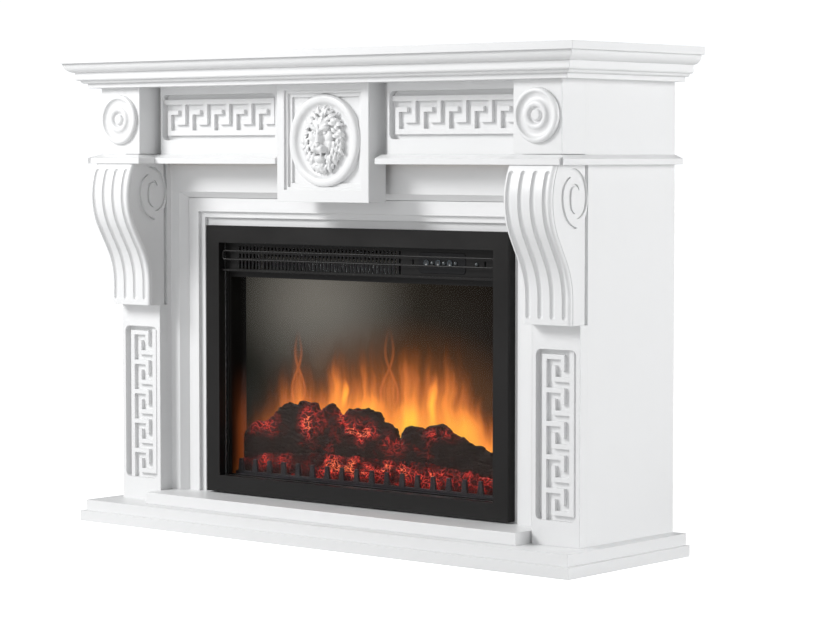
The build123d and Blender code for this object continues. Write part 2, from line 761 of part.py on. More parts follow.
# ---------------------------------------------------------------- grille and controls
def make_grille():
    """Slotted plate with a folded sill."""
    plate = slab(-inner_half, inner_half, grille_y, grille_y + grille_sheet, grille_z, inner_top)
    cutters = []
    for rise, length in slot_rows:
        for index in range(slot_count):
            x = slot_start + index * slot_pitch
            z = grille_z + rise
            cutters.append(slab(x, x + slot_width, grille_y - 2, grille_y + 4, z, z + length))
    plate = plate - cutters
    half = window_half - 1.0
    sill = slab(-half, half, bar_y - 1.0, grille_y, grille_z - 2.0, grille_z)
    sill += slab(-half, half, bar_y - 1.0, bar_y + 0.5, grille_z - 2.0, grille_z + 2.5)
    sill += slab(-half, half, grille_y - 2.0, grille_y + grille_sheet, grille_z - 2.0, grille_z)
    plate = plate + sill
    control_z = grille_z + control_rise
    for x in button_places():
        plate -= pin(x, grille_y - 3, grille_y + 4, control_z, button_diameter / 2 + button_clearance)
    for x in lens_places():
        plate -= pin(x, grille_y - 3, grille_y + 4, control_z, 2.2)
    plate -= pin(receiver_x, grille_y - 3, grille_y + 4, control_z, 2.2)
    for x in (control_x - 78.0, control_x + 112.0):
        plate -= slab(x - 2, x + 2, grille_y - 3, grille_y + 4, control_z - 7, control_z + 6)
    return plate


def button_places():
    return [control_x + button_first + index * button_pitch for index in range(3)]


def lens_places():
    return [x + button_pitch / 2 for x in button_places()]


def make_louvre_bars():
    """Two round bars in front of the slots, joined at both ends and carried on four stubs."""
    radius = bar_diameter / 2
    low, high = (grille_z + level for level in bar_levels)
    half = window_half - 4.0
    middle = (low + high) / 2
    path = RectangleRounded(2 * half, high - low, bar_corner).wire()
    plane = Plane(origin=(0, bar_y, middle), x_dir=(1, 0, 0), z_dir=(0, -1, 0))
    wire = plane * path
    section = Plane(origin=wire @ 0, z_dir=wire % 0) * Circle(radius)
    loop = sweep(section, path=wire)
    for x in (-half + 14.0, half - 14.0):
        for z in (low, high):
            loop += pin(x, bar_y, grille_y, z, radius - 0.4)
    return loop


def make_control_plate():
    """Raised escutcheon with three button holes and three lens holes."""
    control_z = grille_z + control_rise
    outline = RectangleRounded(control_width, control_height, 7.0)
    plate = Pos(control_x, grille_y, control_z) * Rot(90, 0, 0) * extrude(outline, control_thickness)
    front = plate.faces().sort_by(Axis.Y)[0]
    plate = chamfer(front.edges(), 0.6)
    for x in button_places():
        plate -= pin(x, grille_y - 5, grille_y + 1, control_z, button_diameter / 2 + button_clearance)
    for x in lens_places():
        plate -= pin(x, grille_y - 5, grille_y + 1, control_z, 2.2)
    return plate


def make_button(x):
    """Push button: a dished cap with a retaining flange behind the grille."""
    control_z = grille_z + control_rise
    front = grille_y - control_thickness - button_proud
    behind = grille_y + grille_sheet + 0.3
    radius = button_diameter / 2
    cap = pin(x, front, behind, control_z, radius)
    cap = fillet(cap.edges().group_by(Axis.Y)[0], 0.9)
    cap -= Pos(x, front - 10.5, control_z) * Sphere(11.6)
    cap += pin(x, behind, behind + 1.2, control_z, radius + 1.6)
    stem_end = switch_y - button_travel - 0.1
    return cap + pin(x, behind + 1.2, stem_end, control_z, 2.0)


def make_lenses():
    """Three indicator lenses and the remote receiver, each with a stem in the plate."""
    control_z = grille_z + control_rise
    lenses = []
    for x in lens_places() + [receiver_x]:
        seat = grille_y if x == receiver_x else grille_y - control_thickness
        dome = Pos(x, seat, control_z) * Sphere(lens_diameter / 2)
        dome &= slab(x - 10, x + 10, seat - 10, seat, control_z - 10, control_z + 10)
        lenses.append(dome + pin(x, seat, grille_y + 6.0, control_z, 2.0))
    return lenses


def make_control_board():
    """Circuit board behind the controls, with switches, a relay, a transformer and connectors."""
    control_z = grille_z + control_rise
    board_y = switch_y + 6.0
    back = board_y + 1.6
    low, left, right = control_z - 8.0, control_x + 95.0, control_x + 105.0
    board = slab(control_x - 75.0, control_x + 110.0, board_y, back, control_z - 26.0, inner_top - 4.0)
    for x in button_places():
        board += slab(x - 3, x + 3, board_y - 4.5, board_y, control_z - 3, control_z + 3)
        board += pin(x, switch_y, board_y - 4.5, control_z, 1.7)
    blocks = ((-60.0, 26.0, 22.0, 18.0), (-20.0, 20.0, 16.0, 14.0), (20.0, 34.0, 28.0, 24.0),
              (70.0, 24.0, 12.0, 10.0))
    for offset, wide, deep, tall in blocks:
        x = control_x + offset
        board += slab(x, x + wide, back, back + deep, low, low + tall)
    foot = slab(left, right, back, back + 12.4, inner_top - 1.5, inner_top)
    post = slab(left, right, back, back + 1.6, inner_top - 20.0, inner_top)
    return board + foot + post


# ---------------------------------------------------------------- fire picture
def make_screen():
    return slab(-inner_half, inner_half, screen_y, screen_y + screen_thickness, inner_z, tray_z)


def make_ember_bed():
    front = glass_y + glass_thickness + 13.0
    back = screen_y - 1.0
    profile = Polyline((front, inner_z), (back, inner_z), (back, inner_z + 66.0),
                       (front + 14.0, inner_z + 62.0), (front, inner_z + 34.0), close=True)
    return along_x(make_face(profile), -window_half + 9.0, window_half - 9.0)


def log_places():
    """x, z of both ends and the thickness of each log."""
    bed = inner_z + 66.0
    reach = window_half - 9.0
    return ((-reach, bed + 26, -120, bed + 60, 46), (-250, bed + 76, -40, bed + 90, 44),
            (-175, bed + 54, 60, bed + 40, 50), (40, bed + 28, 240, bed + 64, 46),
            (120, bed + 70, reach, bed + 12, 44))


def make_logs():
    """Stub logs, thinned front and back so that they stand between glass and screen."""
    front = glass_y + glass_thickness + 15.0
    back = screen_y - 1.0
    bed = inner_z + 66.0
    logs = None
    for x0, z0, x1, z1, thick in log_places():
        length = sqrt((x1 - x0) ** 2 + (z1 - z0) ** 2)
        tilt = degrees(atan2(z1 - z0, x1 - x0))
        middle = Pos((x0 + x1) / 2, (front + back) / 2, (z0 + z1) / 2)
        log = middle * Rot(0, -tilt, 0) * Box(length, back - front, thick)
        logs = log if logs is None else logs + log
    reach = window_half - 9.0
    logs += slab(-reach, reach, front, back, bed, bed + 14.0)
    limit = slab(-reach, reach, front, back, bed, bed + 120.0)
    return logs & limit


def make_fence():
    """Grate fence: a rail with tapered teeth."""
    y0 = glass_y + glass_thickness + 4.0
    y1 = y0 + 6.0
    rail_top = window_z + 8.0
    fence = slab(-window_half + 9.0, window_half - 9.0, y0, y1, inner_z, rail_top)
    pitch = 42.0
    count = int((2 * window_half - 18.0 - pitch / 2) // pitch) + 1
    tooth_low, tooth_high, rise = 15.0, 8.0, 27.0
    for index in range(count):
        x = (index - (count - 1) / 2) * pitch
        tip = rail_top + rise
        outline = Polyline((x - tooth_low / 2, rail_top), (x + tooth_low / 2, rail_top),
                           (x + tooth_high / 2, tip), (x - tooth_high / 2, tip), close=True)
        fence += along_y(make_face(outline), y0, y1)
    return fence


def make_led_board():
    """Lamp strip on the floor of the casing, behind the screen."""
    y0 = screen_y + screen_thickness + 10.0
    half = inner_half - 46.5
    pitch = 43.0
    count = int(2 * half // pitch) + 1
    board = slab(-half, half, y0, y0 + 24.0, inner_z, inner_z + 1.6)
    for index in range(count):
        x = (index - (count - 1) / 2) * pitch
        board += slab(x - 4, x + 4, y0 + 8.0, y0 + 16.0, inner_z + 1.6, inner_z + 5.0)
    return board


def make_flicker_rod():
    """Shaft with mirror paddles set round it in a staggered pattern."""
    shaft = rod(-rod_half - 12.0, rod_half + 20.0, rod_y, rod_z, rod_radius)
    count = 10
    spacing = 2 * (rod_half - 30.0) / (count - 1)
    for index in range(count):
        x = -rod_half + 30.0 + index * spacing
        angle = 60.0 * index
        paddle = Box(34.0, 1.2, 2 * paddle_reach)
        shaft += Pos(x, rod_y, rod_z) * Rot(angle, 0, 0) * paddle
    return shaft


def make_flicker_drive():
    """Synchronous motor at one end of the rod and the bearing bracket at the other."""
    end = rod_half + 12.0
    motor = rod(end, inner_half - 2.0, rod_y, rod_z, 24.0)
    motor += slab(inner_half - 2.0, inner_half, rod_y - 30.0, rod_y + 30.0, rod_z - 26.0, rod_z + 26.0)
    motor -= rod(end - 1, rod_half + 22.0, rod_y, rod_z, rod_radius + journal_clearance)
    bracket = slab(-rod_half - 12.0, -rod_half - 4.0, rod_y - 12.0, rod_y + 12.0, inner_z, rod_z + 14.0)
    bracket += slab(-rod_half - 30.0, -rod_half - 4.0, rod_y - 12.0, rod_y + 12.0, inner_z, inner_z + 2.0)
    bracket -= rod(-rod_half - 14.0, -rod_half, rod_y, rod_z, rod_radius + journal_clearance)
    return [motor, bracket]


# ---------------------------------------------------------------- heater and blower
def make_impeller():
    """Cross-flow impeller: end discs, thin blades round the rim, shaft stubs."""
    x0, x1 = blower_x0 + 8.0, blower_x0 + blower_length - 8.0
    disc = 3.0
    wheel = rod(x0, x0 + disc, blower_y, blower_z, impeller_radius)
    wheel += rod(x1 - disc, x1, blower_y, blower_z, impeller_radius)
    wheel += rod((x0 + x1) / 2 - 1.5, (x0 + x1) / 2 + 1.5, blower_y, blower_z, impeller_radius)
    for index in range(impeller_blades):
        angle = 360.0 / impeller_blades * index
        blade = Pos(0, 0, impeller_radius - 3.5) * Box(x1 - x0 - 1.0, 1.0, 5.6)
        wheel += Pos((x0 + x1) / 2, blower_y, blower_z) * Rot(angle, 0, 0) * blade
    wheel += rod(x0 - 14.0, x0 + 1.0, blower_y, blower_z, shaft_radius)
    return wheel + rod(x1 - 1.0, x1 + 22.0, blower_y, blower_z, shaft_radius)


def make_blower_housing():
    """Folded duct round the impeller: back wall, floor, two end plates with bearings."""
    reach = impeller_radius + blower_gap
    x0, x1 = blower_x0, blower_x0 + blower_length
    low = tray_z + 2.0
    wall = 1.5
    housing = slab(x0, x1, blower_y + reach, blower_y + reach + wall, low, blower_z + reach)
    housing += slab(x0, x1, blower_y - 60.0, blower_y + reach + wall, low, low + wall)
    for x in (x0, x1 - wall):
        plate = slab(x, x + wall, blower_y - 60.0, blower_y + reach + wall, low, blower_z + reach)
        plate += rod(x - 1.5, x + 3.0, blower_y, blower_z, 7.0)
        housing += plate
    bore = shaft_radius + journal_clearance
    return housing - rod(x0 - 20.0, x1 + 20.0, blower_y, blower_z, bore)


def make_blower_motor():
    """Shaded-pole motor on a foot, its rotor sleeve round the impeller shaft."""
    x0 = blower_x0 + blower_length + 4.0
    motor = rod(x0 + 3.0, x0 + 38.0, blower_y, blower_z, 16.0)
    motor += slab(x0 + 6.0, x0 + 30.0, blower_y - 17.0, blower_y + 17.0, tray_z + 2.0, blower_z + 10.0)
    return motor - rod(x0 - 2.0, x0 + 20.0, blower_y, blower_z, shaft_radius + journal_clearance)


def make_heater():
    """Heating rods between two insulating end plates, and the thermal cut-out beside them."""
    x0, x1 = blower_x0 + 6.0, blower_x0 + blower_length - 6.0
    y = blower_y - 44.0
    low = tray_z + 3.5
    heater = slab(x0, x0 + 3.0, y - 12.0, y + 12.0, low, blower_z + 16.0)
    heater += slab(x1 - 3.0, x1, y - 12.0, y + 12.0, low, blower_z + 16.0)
    for z in (blower_z - 14.0, blower_z, blower_z + 12.0):
        heater += rod(x0 + 1.0, x1 - 1.0, y, z, 4.0)
    cutout_x = blower_x0 + blower_length + 40.0
    cutout = Pos(cutout_x, y, low + 2.5) * Cylinder(9.0, 8.0)
    return [heater, cutout]


# ---------------------------------------------------------------- build
def main():
    os.makedirs("parts", exist_ok=True)
    save("mantel_shelf", make_shelf())
    save("crown_moulding", make_crown())
    save("frieze_backboard", make_backboard())
    frieze_combs = []
    for name, side in (("left", -1), ("right", 1)):
        panel, combs = make_frieze_panel(side)
        save(f"frieze_panel_{name}", panel)
        frieze_combs += combs
    save("frieze_frets", frieze_combs)

    right_block = make_end_block()
    block_middle = body_half - end_block_width / 2
    save("end_block_right", right_block)
    save("end_block_left", mirror(right_block, Plane.YZ))
    save("rosettes", [make_rosette(-block_middle), make_rosette(block_middle)])
    save("centre_block", make_centre_block())
    save("medallion", make_medallion())
    save("lion_mask", make_lion_mask())

    architrave = make_architrave()
    save("architrave_right", architrave)
    save("architrave_left", [mirror(piece, Plane.YZ) for piece in architrave])
    corbel = make_corbel()
    save("corbel_right", corbel)
    save("corbel_left", mirror(corbel, Plane.YZ))

    pilaster_combs = []
    pilaster = make_pilaster()
    for name, side in (("left", -1), ("right", 1)):
        middle = side * (leg_inner + body_half) / 2
        middle_z = (base_z + corbel_z) / 2
        pocket, combs = make_key(middle, pilaster_y, middle_z, 0, corbel_z - base_z, pilaster_border)
        board = pilaster if side > 0 else mirror(pilaster, Plane.YZ)
        save(f"pilaster_{name}", board - pocket)
        pilaster_combs += combs
    save("pilaster_frets", pilaster_combs)

    outer, inner = make_surround()
    save("surround_outer", outer)
    save("surround_inner", inner)
    save("infill_panel", make_infill())
    for node, solid in (("side_panel", make_side_panel()), ("leg_panel", make_leg_panel())):
        save(f"{node}_right", solid)
        save(f"{node}_left", mirror(solid, Plane.YZ))
    save("lintel_board", make_lintel())
    save("rear_top_rail", make_rear_rail())
    save("base_board", make_base_board())
    save("plinth_rails", make_plinth_rails())
    save("hearth_slab", make_hearth())
    save("corner_brackets", make_corner_brackets())
    save("firebox_bearers", make_bearers())

    save("firebox_frame", make_frame())
    save("firebox_casing", make_casing())
    save("rear_cover", make_rear_cover())
    save("cover_screws", make_screws())
    save("cord_gland", make_gland())
    save("window_bezel", make_bezel())
    save("glass_pane", make_glass())
    save("heater_tray", make_tray())
    save("grille_plate", make_grille())
    save("louvre_bars", make_louvre_bars())
    save("control_plate", make_control_plate())
    for node, x in zip(("button_power", "button_flame", "button_heat"), button_places()):
        save(node, make_button(x))
    save("indicator_lenses", make_lenses())
    save("control_board", make_control_board())

    save("flame_screen", make_screen())
    save("ember_bed", make_ember_bed())
    save("log_set", make_logs())
    save("grate_fence", make_fence())
    save("led_board", make_led_board())
    save("flicker_rod", make_flicker_rod())
    save("flicker_drive", make_flicker_drive())
    save("blower_impeller", make_impeller())
    save("blower_housing", make_blower_housing())
    save("blower_motor", make_blower_motor())
    save("heater_element", make_heater())
    print(len(PARTS), "nodes")


if __name__ == "__main__":
    main()
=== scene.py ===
# %% [markdown]
# # A white classical mantel with an electric fire
# The real thing is joinery around a sheet-metal appliance. The boards, mouldings, frets and
# corbels come from the imported design and keep their shapes. This script gives them their
# finishes, and models what a machine can't draw with straight boards: the carved lion, the
# moulded logs and embers, and the picture of the flames.
#
# The first cell loads the design and the record of its parts.

import json
from math import atan2, cos, pi, radians, sin

import bmesh
import bpy
from mathutils import Matrix, Vector, noise


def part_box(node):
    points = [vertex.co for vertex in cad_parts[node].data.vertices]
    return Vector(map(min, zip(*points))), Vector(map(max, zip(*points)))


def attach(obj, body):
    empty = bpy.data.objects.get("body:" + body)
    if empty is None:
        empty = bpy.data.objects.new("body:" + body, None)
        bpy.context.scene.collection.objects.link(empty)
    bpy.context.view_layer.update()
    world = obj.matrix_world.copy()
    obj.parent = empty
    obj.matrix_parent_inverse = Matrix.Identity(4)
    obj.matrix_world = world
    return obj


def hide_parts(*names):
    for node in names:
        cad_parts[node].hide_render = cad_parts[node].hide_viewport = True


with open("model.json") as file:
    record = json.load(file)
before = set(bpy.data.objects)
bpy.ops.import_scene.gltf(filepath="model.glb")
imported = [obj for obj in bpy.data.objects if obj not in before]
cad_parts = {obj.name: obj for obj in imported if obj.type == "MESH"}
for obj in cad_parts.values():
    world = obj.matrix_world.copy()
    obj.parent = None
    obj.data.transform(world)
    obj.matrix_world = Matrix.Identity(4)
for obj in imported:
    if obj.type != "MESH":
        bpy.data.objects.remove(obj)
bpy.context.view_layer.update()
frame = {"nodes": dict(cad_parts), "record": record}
nodes = frame["nodes"]

# %% [markdown]
# ## Tools for the shaders
# A finish is a small tree of shader nodes. Three helpers keep each tree short enough to read:
# one adds any node and wires or sets its sockets, one does arithmetic, and one blends colours.


# %% Shader helpers
def add(tree, kind, sockets=None, **settings):
    """Adds a shader node; a socket value is either another socket to link or a plain value."""
    node = tree.nodes.new("ShaderNode" + kind)
    for name, value in settings.items():
        setattr(node, name, value)
    for name, value in (sockets or {}).items():
        if isinstance(value, bpy.types.NodeSocket):
            tree.links.new(value, node.inputs[name])
        else:
            node.inputs[name].default_value = value
    return node


def maths(tree, operation, *values, **settings):
    """One step of arithmetic on sockets or numbers."""
    return add(tree, "Math", dict(enumerate(values)), operation=operation, **settings).outputs[0]


def blended(tree, factor, first, second, blend_type="MIX"):
    """The first colour at factor 0 and the second at factor 1."""
    settings = {"data_type": "RGBA", "blend_type": blend_type}
    return add(tree, "Mix", {0: factor, 6: first, 7: second}, **settings).outputs[2]


def stepped(tree, value, low, high, start=0.0, end=1.0):
    """A smooth rise from start to end while value goes from low to high."""
    sockets = {0: value, 1: low, 2: high, 3: start, 4: end}
    return add(tree, "MapRange", sockets, interpolation_type="SMOOTHSTEP").outputs[0]


def ramp(tree, value, stops):
    """A colour ramp; stops are (position, colour)."""
    node = add(tree, "ValToRGB", {0: value})
    elements = node.color_ramp.elements
    while len(elements) < len(stops):
        elements.new(0.5)
    for element, (position, colour) in zip(elements, stops):
        element.position = position
        element.color = (*colour, 1.0)
    return node.outputs[0]


print("shader helpers ready")

# %% [markdown]
# ## Effects that several finishes share
# Paint and enamel round off every sharp arris, and handling polishes it. Each arris is also
# painted in an edge colour, on most finishes lighter than the face: a painted highlight. The
# Bevel node finds those edges on any mesh, so one group serves the whole object. A second group
# makes the fine orange peel or powder grain of a sprayed coat, and a third the dust that settles
# on what faces up. Groups keep the effect in one place, and each finish sets its own strength.


# %% Group builder
def new_group(name, inputs, outputs):
    """An empty group with named sockets: its tree, its inputs from inside, and its results."""
    tree = bpy.data.node_groups.new(name, "ShaderNodeTree")
    for label, kind, value in inputs:
        socket = tree.interface.new_socket(label, in_out="INPUT", socket_type="NodeSocket" + kind)
        if value is not None:
            socket.default_value = value
    for label, kind in outputs:
        tree.interface.new_socket(label, in_out="OUTPUT", socket_type="NodeSocket" + kind)
    return tree, tree.nodes.new("NodeGroupInput").outputs, tree.nodes.new("NodeGroupOutput").inputs


def wire(tree, sockets, **values):
    """Links each value to the socket of its name."""
    for label, value in values.items():
        tree.links.new(value, sockets[label])


print("group builder ready")


# %% Rounded edges with a painted highlight
def make_edge_group():
    """Where the rounded normal leaves the flat one, there is an edge."""
    tree, given, result = new_group("rounded edges with painted highlight", [("Radius", "Float", 0.001)],
                                    [("Mask", "Float"), ("Normal", "Vector")])
    rounded = add(tree, "Bevel", {"Radius": given["Radius"]}, samples=4)
    flat = add(tree, "NewGeometry").outputs["True Normal"]
    sockets = {0: rounded.outputs[0], 1: flat}
    match = add(tree, "VectorMath", sockets, operation="DOT_PRODUCT").outputs["Value"]
    on_flat, on_arris = 0.99, 0.8      # how well the two normals agree
    wire(tree, result, Mask=stepped(tree, match, on_flat, on_arris), Normal=rounded.outputs[0])
    return tree


edge_group = make_edge_group()
print("group", edge_group.name)


# %% Sprayed coat
def make_coat_group():
    """Fine peel over a slow unevenness, as heights and as a patchiness from 0 to 1."""
    inputs = [("Peel Scale", "Float", 900.0), ("Patch Scale", "Float", 9.0)]
    tree, given, result = new_group("sprayed coat", inputs, [("Height", "Float"), ("Patch", "Float")])
    place = add(tree, "TexCoord").outputs["Object"]
    peel = add(tree, "TexNoise", {"Vector": place, "Scale": given["Peel Scale"], "Detail": 3.0})
    patch = add(tree, "TexNoise", {"Vector": place, "Scale": given["Patch Scale"], "Detail": 4.0})
    unevenness = 1.4                   # height of the patches beside that of the peel
    slow = maths(tree, "MULTIPLY", patch.outputs[0], unevenness)
    wire(tree, result, Height=maths(tree, "ADD", peel.outputs[0], slow), Patch=patch.outputs[0])
    return tree


coat_group = make_coat_group()
print("group", coat_group.name)


# %% Settled dust
def make_dust_group():
    """Dust on what faces up, broken by a soft noise."""
    tree, given, result = new_group("settled dust", [("Amount", "Float", 0.5)], [("Mask", "Float")])
    normal = add(tree, "SeparateXYZ", {0: add(tree, "NewGeometry").outputs["Normal"]}).outputs[2]
    place = add(tree, "TexCoord").outputs["Object"]
    cloud = add(tree, "TexNoise", {"Vector": place, "Scale": 30.0, "Detail": 6.0}).outputs[0]
    steep, level = 0.2, 0.95           # the normal's upward share where dust first holds, and lies full
    up = stepped(tree, normal, steep, level)
    broken = stepped(tree, cloud, 0.35, 0.7)
    mask = maths(tree, "MULTIPLY", maths(tree, "MULTIPLY", up, broken), given["Amount"])
    wire(tree, result, Mask=mask)
    return tree


dust_group = make_dust_group()
print("group", dust_group.name)


# %% Material builder
edge_highlight_share = 0.35                   # share of the edge colour on an edge, a painted highlight
edge_polish = 0.08                 # how much less rough a worn edge is
house_dust = (0.42, 0.40, 0.37, 1)


def new_material(name):
    """An empty material with a Principled shader wired to its output."""
    made = bpy.data.materials.new(name)
    made.use_nodes = True
    tree = made.node_tree
    tree.nodes.clear()
    shader = add(tree, "BsdfPrincipled")
    output = add(tree, "OutputMaterial")
    tree.links.new(shader.outputs[0], output.inputs[0])
    return made, tree, shader


def placed(tree, group, **values):
    """A group node with its inputs set; spaces in names are written as underscores."""
    node = add(tree, "Group")
    node.node_tree = group
    for label, value in values.items():
        node.inputs[label.replace("_", " ")].default_value = value
    return node.outputs


def bumped(tree, shader, height, distance, normal=None):
    """Feeds a height in metres to the shader's normal, over a rounded edge normal if given."""
    sockets = {"Height": height, "Distance": distance, "Strength": 1.0}
    if normal is not None:
        sockets["Normal"] = normal
    tree.links.new(add(tree, "Bump", sockets).outputs[0], shader.inputs["Normal"])


def coated(name, colour, tint, roughness, metallic=0.0, peel=900.0, patch=9.0, depth=0.00003,
           edge=0.001, highlight_colour=None, dust=0.0, coat=0.0, shine=0.5):
    """A painted, enamelled, moulded or plated surface; colour and tint alternate in soft patches."""
    made, tree, shader = new_material(name)
    coat_out = placed(tree, coat_group, Peel_Scale=peel, Patch_Scale=patch)
    edges = placed(tree, edge_group, Radius=edge)
    base = blended(tree, coat_out["Patch"], (*colour, 1), (*tint, 1))
    # each arris takes the edge colour, a painted highlight; the lower roughness there is polish from handling
    highlit = maths(tree, "MULTIPLY", edges["Mask"], edge_highlight_share)
    base = blended(tree, highlit, base, (*(highlight_colour or tint), 1))
    if dust:
        settled = placed(tree, dust_group, Amount=dust)
        base = blended(tree, settled["Mask"], base, house_dust)
    rough = stepped(tree, coat_out["Patch"], 0.3, 0.7, *roughness)
    rough = maths(tree, "SUBTRACT", rough, maths(tree, "MULTIPLY", edges["Mask"], edge_polish))
    wire(tree, shader.inputs, **{"Base Color": base, "Roughness": rough})
    shader.inputs["Metallic"].default_value = metallic
    shader.inputs["Specular IOR Level"].default_value = shine
    shader.inputs["Coat Weight"].default_value = coat
    shader.inputs["Coat Roughness"].default_value = 0.22
    bumped(tree, shader, coat_out["Height"], depth, edges["Normal"])
    return made


print("material builder ready")

# %% [markdown]
# ## Plain finishes
# The mantel is fibreboard under a satin white lacquer: nearly uniform, a hair warmer in patches,
# with a faint peel that only shows where a highlight runs along it. The firebox is satin black
# enamel with a powder grain. Inside are bare board, zinc-plated sheet, moulded plastic and
# motors. One builder makes them all, because they differ only in colour, gloss and grain.

# %% Plain finishes
# name, colour, tint, roughness from and to; then metal, grain, edges, dust and gloss
finishes = {
    "white_paint": coated("satin white lacquer", (0.80, 0.803, 0.808), (0.77, 0.772, 0.772), (0.34, 0.44),
                          depth=0.00002, edge=0.0012, highlight_colour=(0.84, 0.84, 0.84), coat=0.10),
    "black_enamel": coated("satin black enamel", (0.0085, 0.008, 0.0078), (0.012, 0.011, 0.0108),
                           (0.34, 0.44), peel=2600.0, depth=0.00002, edge=0.0004,
                           highlight_colour=(0.05, 0.048, 0.046), dust=0.04, shine=0.24),
    "cast_black": coated("grate iron", (0.012, 0.011, 0.014), (0.020, 0.018, 0.022), (0.5, 0.7),
                         peel=1400.0, depth=0.00012, edge=0.0008, highlight_colour=(0.08, 0.07, 0.08), dust=0.08),
    "black_plastic": coated("gloss black plastic", (0.012, 0.012, 0.013), (0.016, 0.016, 0.017), (0.16, 0.24),
                            peel=500.0, depth=0.00001, edge=0.0004, highlight_colour=(0.03, 0.03, 0.03),
                            shine=0.3),
    "button_plastic": coated("button plastic", (0.030, 0.033, 0.036), (0.038, 0.041, 0.045), (0.25, 0.35),
                             peel=1800.0, depth=0.00001, edge=0.0003, highlight_colour=(0.08, 0.09, 0.10)),
    "lens_plastic": coated("smoked lens", (0.07, 0.08, 0.085), (0.09, 0.10, 0.105), (0.08, 0.14),
                           peel=900.0, depth=0.000005, edge=0.0003, coat=0.6),
    "motor_steel": coated("motor steel", (0.30, 0.30, 0.31), (0.36, 0.36, 0.36), (0.35, 0.5), 1.0,
                          peel=1200.0, depth=0.00003, edge=0.0006),
    "impeller_metal": coated("impeller aluminium", (0.66, 0.67, 0.68), (0.74, 0.74, 0.75), (0.3, 0.4), 1.0,
                             peel=1500.0, depth=0.00002, edge=0.0004),
    "mirror_foil": coated("mirror foil", (0.86, 0.86, 0.87), (0.80, 0.80, 0.82), (0.04, 0.12), 1.0,
                          peel=160.0, patch=60.0, depth=0.00006, edge=0.0003),
    "heater_ceramic": coated("heater ceramic", (0.30, 0.28, 0.25), (0.24, 0.22, 0.19), (0.6, 0.75),
                             peel=2200.0, depth=0.00005, edge=0.0005),
}
print(len(finishes), "plain finishes")

# %% [markdown]
# ## Bare board, zinc and circuit board
# Bare fibreboard shows short flecks of fibre. Zinc plating grows as spangles, flat crystals a
# few millimetres across that each catch the light differently, which a cell pattern gives. A
# circuit board is green over a grid of fine copper tracks.


# %% Bare fibreboard
def make_raw_board():
    made, tree, shader = new_material("bare fibreboard")
    place = add(tree, "TexCoord").outputs["Object"]
    sockets = {"Vector": place, "Scale": 420.0, "Detail": 8.0, "Roughness": 0.7}
    flecks = add(tree, "TexNoise", sockets).outputs[0]
    clouds = add(tree, "TexNoise", {"Vector": place, "Scale": 6.0, "Detail": 3.0}).outputs[0]
    brown, tan, straw = (0.20, 0.13, 0.075), (0.36, 0.25, 0.15), (0.48, 0.36, 0.24)
    base = ramp(tree, flecks, [(0.3, brown), (0.5, tan), (0.72, straw)])
    base = blended(tree, maths(tree, "MULTIPLY", clouds, 0.5), base, (0.42, 0.30, 0.19, 1))
    settled = placed(tree, dust_group, Amount=0.5)
    base = blended(tree, settled["Mask"], base, (0.50, 0.46, 0.41, 1))
    wire(tree, shader.inputs, **{"Base Color": base, "Roughness": stepped(tree, flecks, 0.2, 0.8, 0.65, 0.9)})
    bumped(tree, shader, flecks, 0.00012, placed(tree, edge_group, Radius=0.0008)["Normal"])
    return made


finishes["raw_board"] = make_raw_board()
print("finish", finishes["raw_board"].name)


# %% Zinc-plated sheet
def make_zinc():
    made, tree, shader = new_material("zinc plated sheet")
    place = add(tree, "TexCoord").outputs["Object"]
    bend = add(tree, "TexNoise", {"Vector": place, "Scale": 40.0}).outputs[1]
    warped = add(tree, "VectorMath", {0: bend, "Scale": 0.02}, operation="SCALE").outputs[0]
    warped = add(tree, "VectorMath", {0: place, 1: warped}, operation="ADD").outputs[0]
    spangle = add(tree, "TexVoronoi", {"Vector": warped, "Scale": 190.0})
    tone = add(tree, "SeparateXYZ", {0: spangle.outputs["Color"]}).outputs[0]
    edges = placed(tree, edge_group, Radius=0.0006)
    settled = placed(tree, dust_group, Amount=0.6)
    base = ramp(tree, tone, [(0.0, (0.40, 0.41, 0.42)), (1.0, (0.62, 0.63, 0.64))])
    base = blended(tree, settled["Mask"], base, (0.38, 0.36, 0.33, 1))
    wire(tree, shader.inputs, **{"Base Color": base, "Roughness": stepped(tree, tone, 0.0, 1.0, 0.32, 0.5)})
    shader.inputs["Metallic"].default_value = 0.9
    bumped(tree, shader, tone, 0.00002, edges["Normal"])
    return made


finishes["zinc_steel"] = make_zinc()
print("finish", finishes["zinc_steel"].name)


# %% Circuit board
def make_board():
    made, tree, shader = new_material("circuit board")
    place = add(tree, "TexCoord").outputs["Object"]
    tracks = add(tree, "TexBrick", {"Vector": place, "Scale": 130.0, "Mortar Size": 0.05}).outputs["Fac"]
    base = blended(tree, tracks, (0.012, 0.075, 0.03, 1), (0.05, 0.17, 0.07, 1))
    wire(tree, shader.inputs, **{"Base Color": base})
    shader.inputs["Roughness"].default_value = 0.35
    bumped(tree, shader, tracks, 0.00003, placed(tree, edge_group, Radius=0.0003)["Normal"])
    return made


finishes["circuit_board"] = make_board()
print(len(finishes), "finishes")

# %% [markdown]
# ## Glass
# The pane is clear toughened glass. A plain transmissive shader with no roughness is enough. Its
# index is low, as a coated pane behaves, so that it mirrors little of the room and the fire
# behind keeps its blacks. A very faint smear varies its tint.


# %% Glass
def make_glass():
    made, tree, shader = new_material("clear glass")
    place = add(tree, "TexCoord").outputs["Object"]
    smear = add(tree, "TexNoise", {"Vector": place, "Scale": 14.0, "Detail": 5.0}).outputs[0]
    tint = ramp(tree, smear, [(0.3, (0.97, 0.98, 0.98)), (0.8, (0.93, 0.94, 0.94))])
    wire(tree, shader.inputs, **{"Base Color": tint})
    shader.inputs["Roughness"].default_value = 0.0
    shader.inputs["Transmission Weight"].default_value = 1.0
    shader.inputs["IOR"].default_value = 1.13
    return made


finishes["clear_glass"] = make_glass()
print("glass ready")
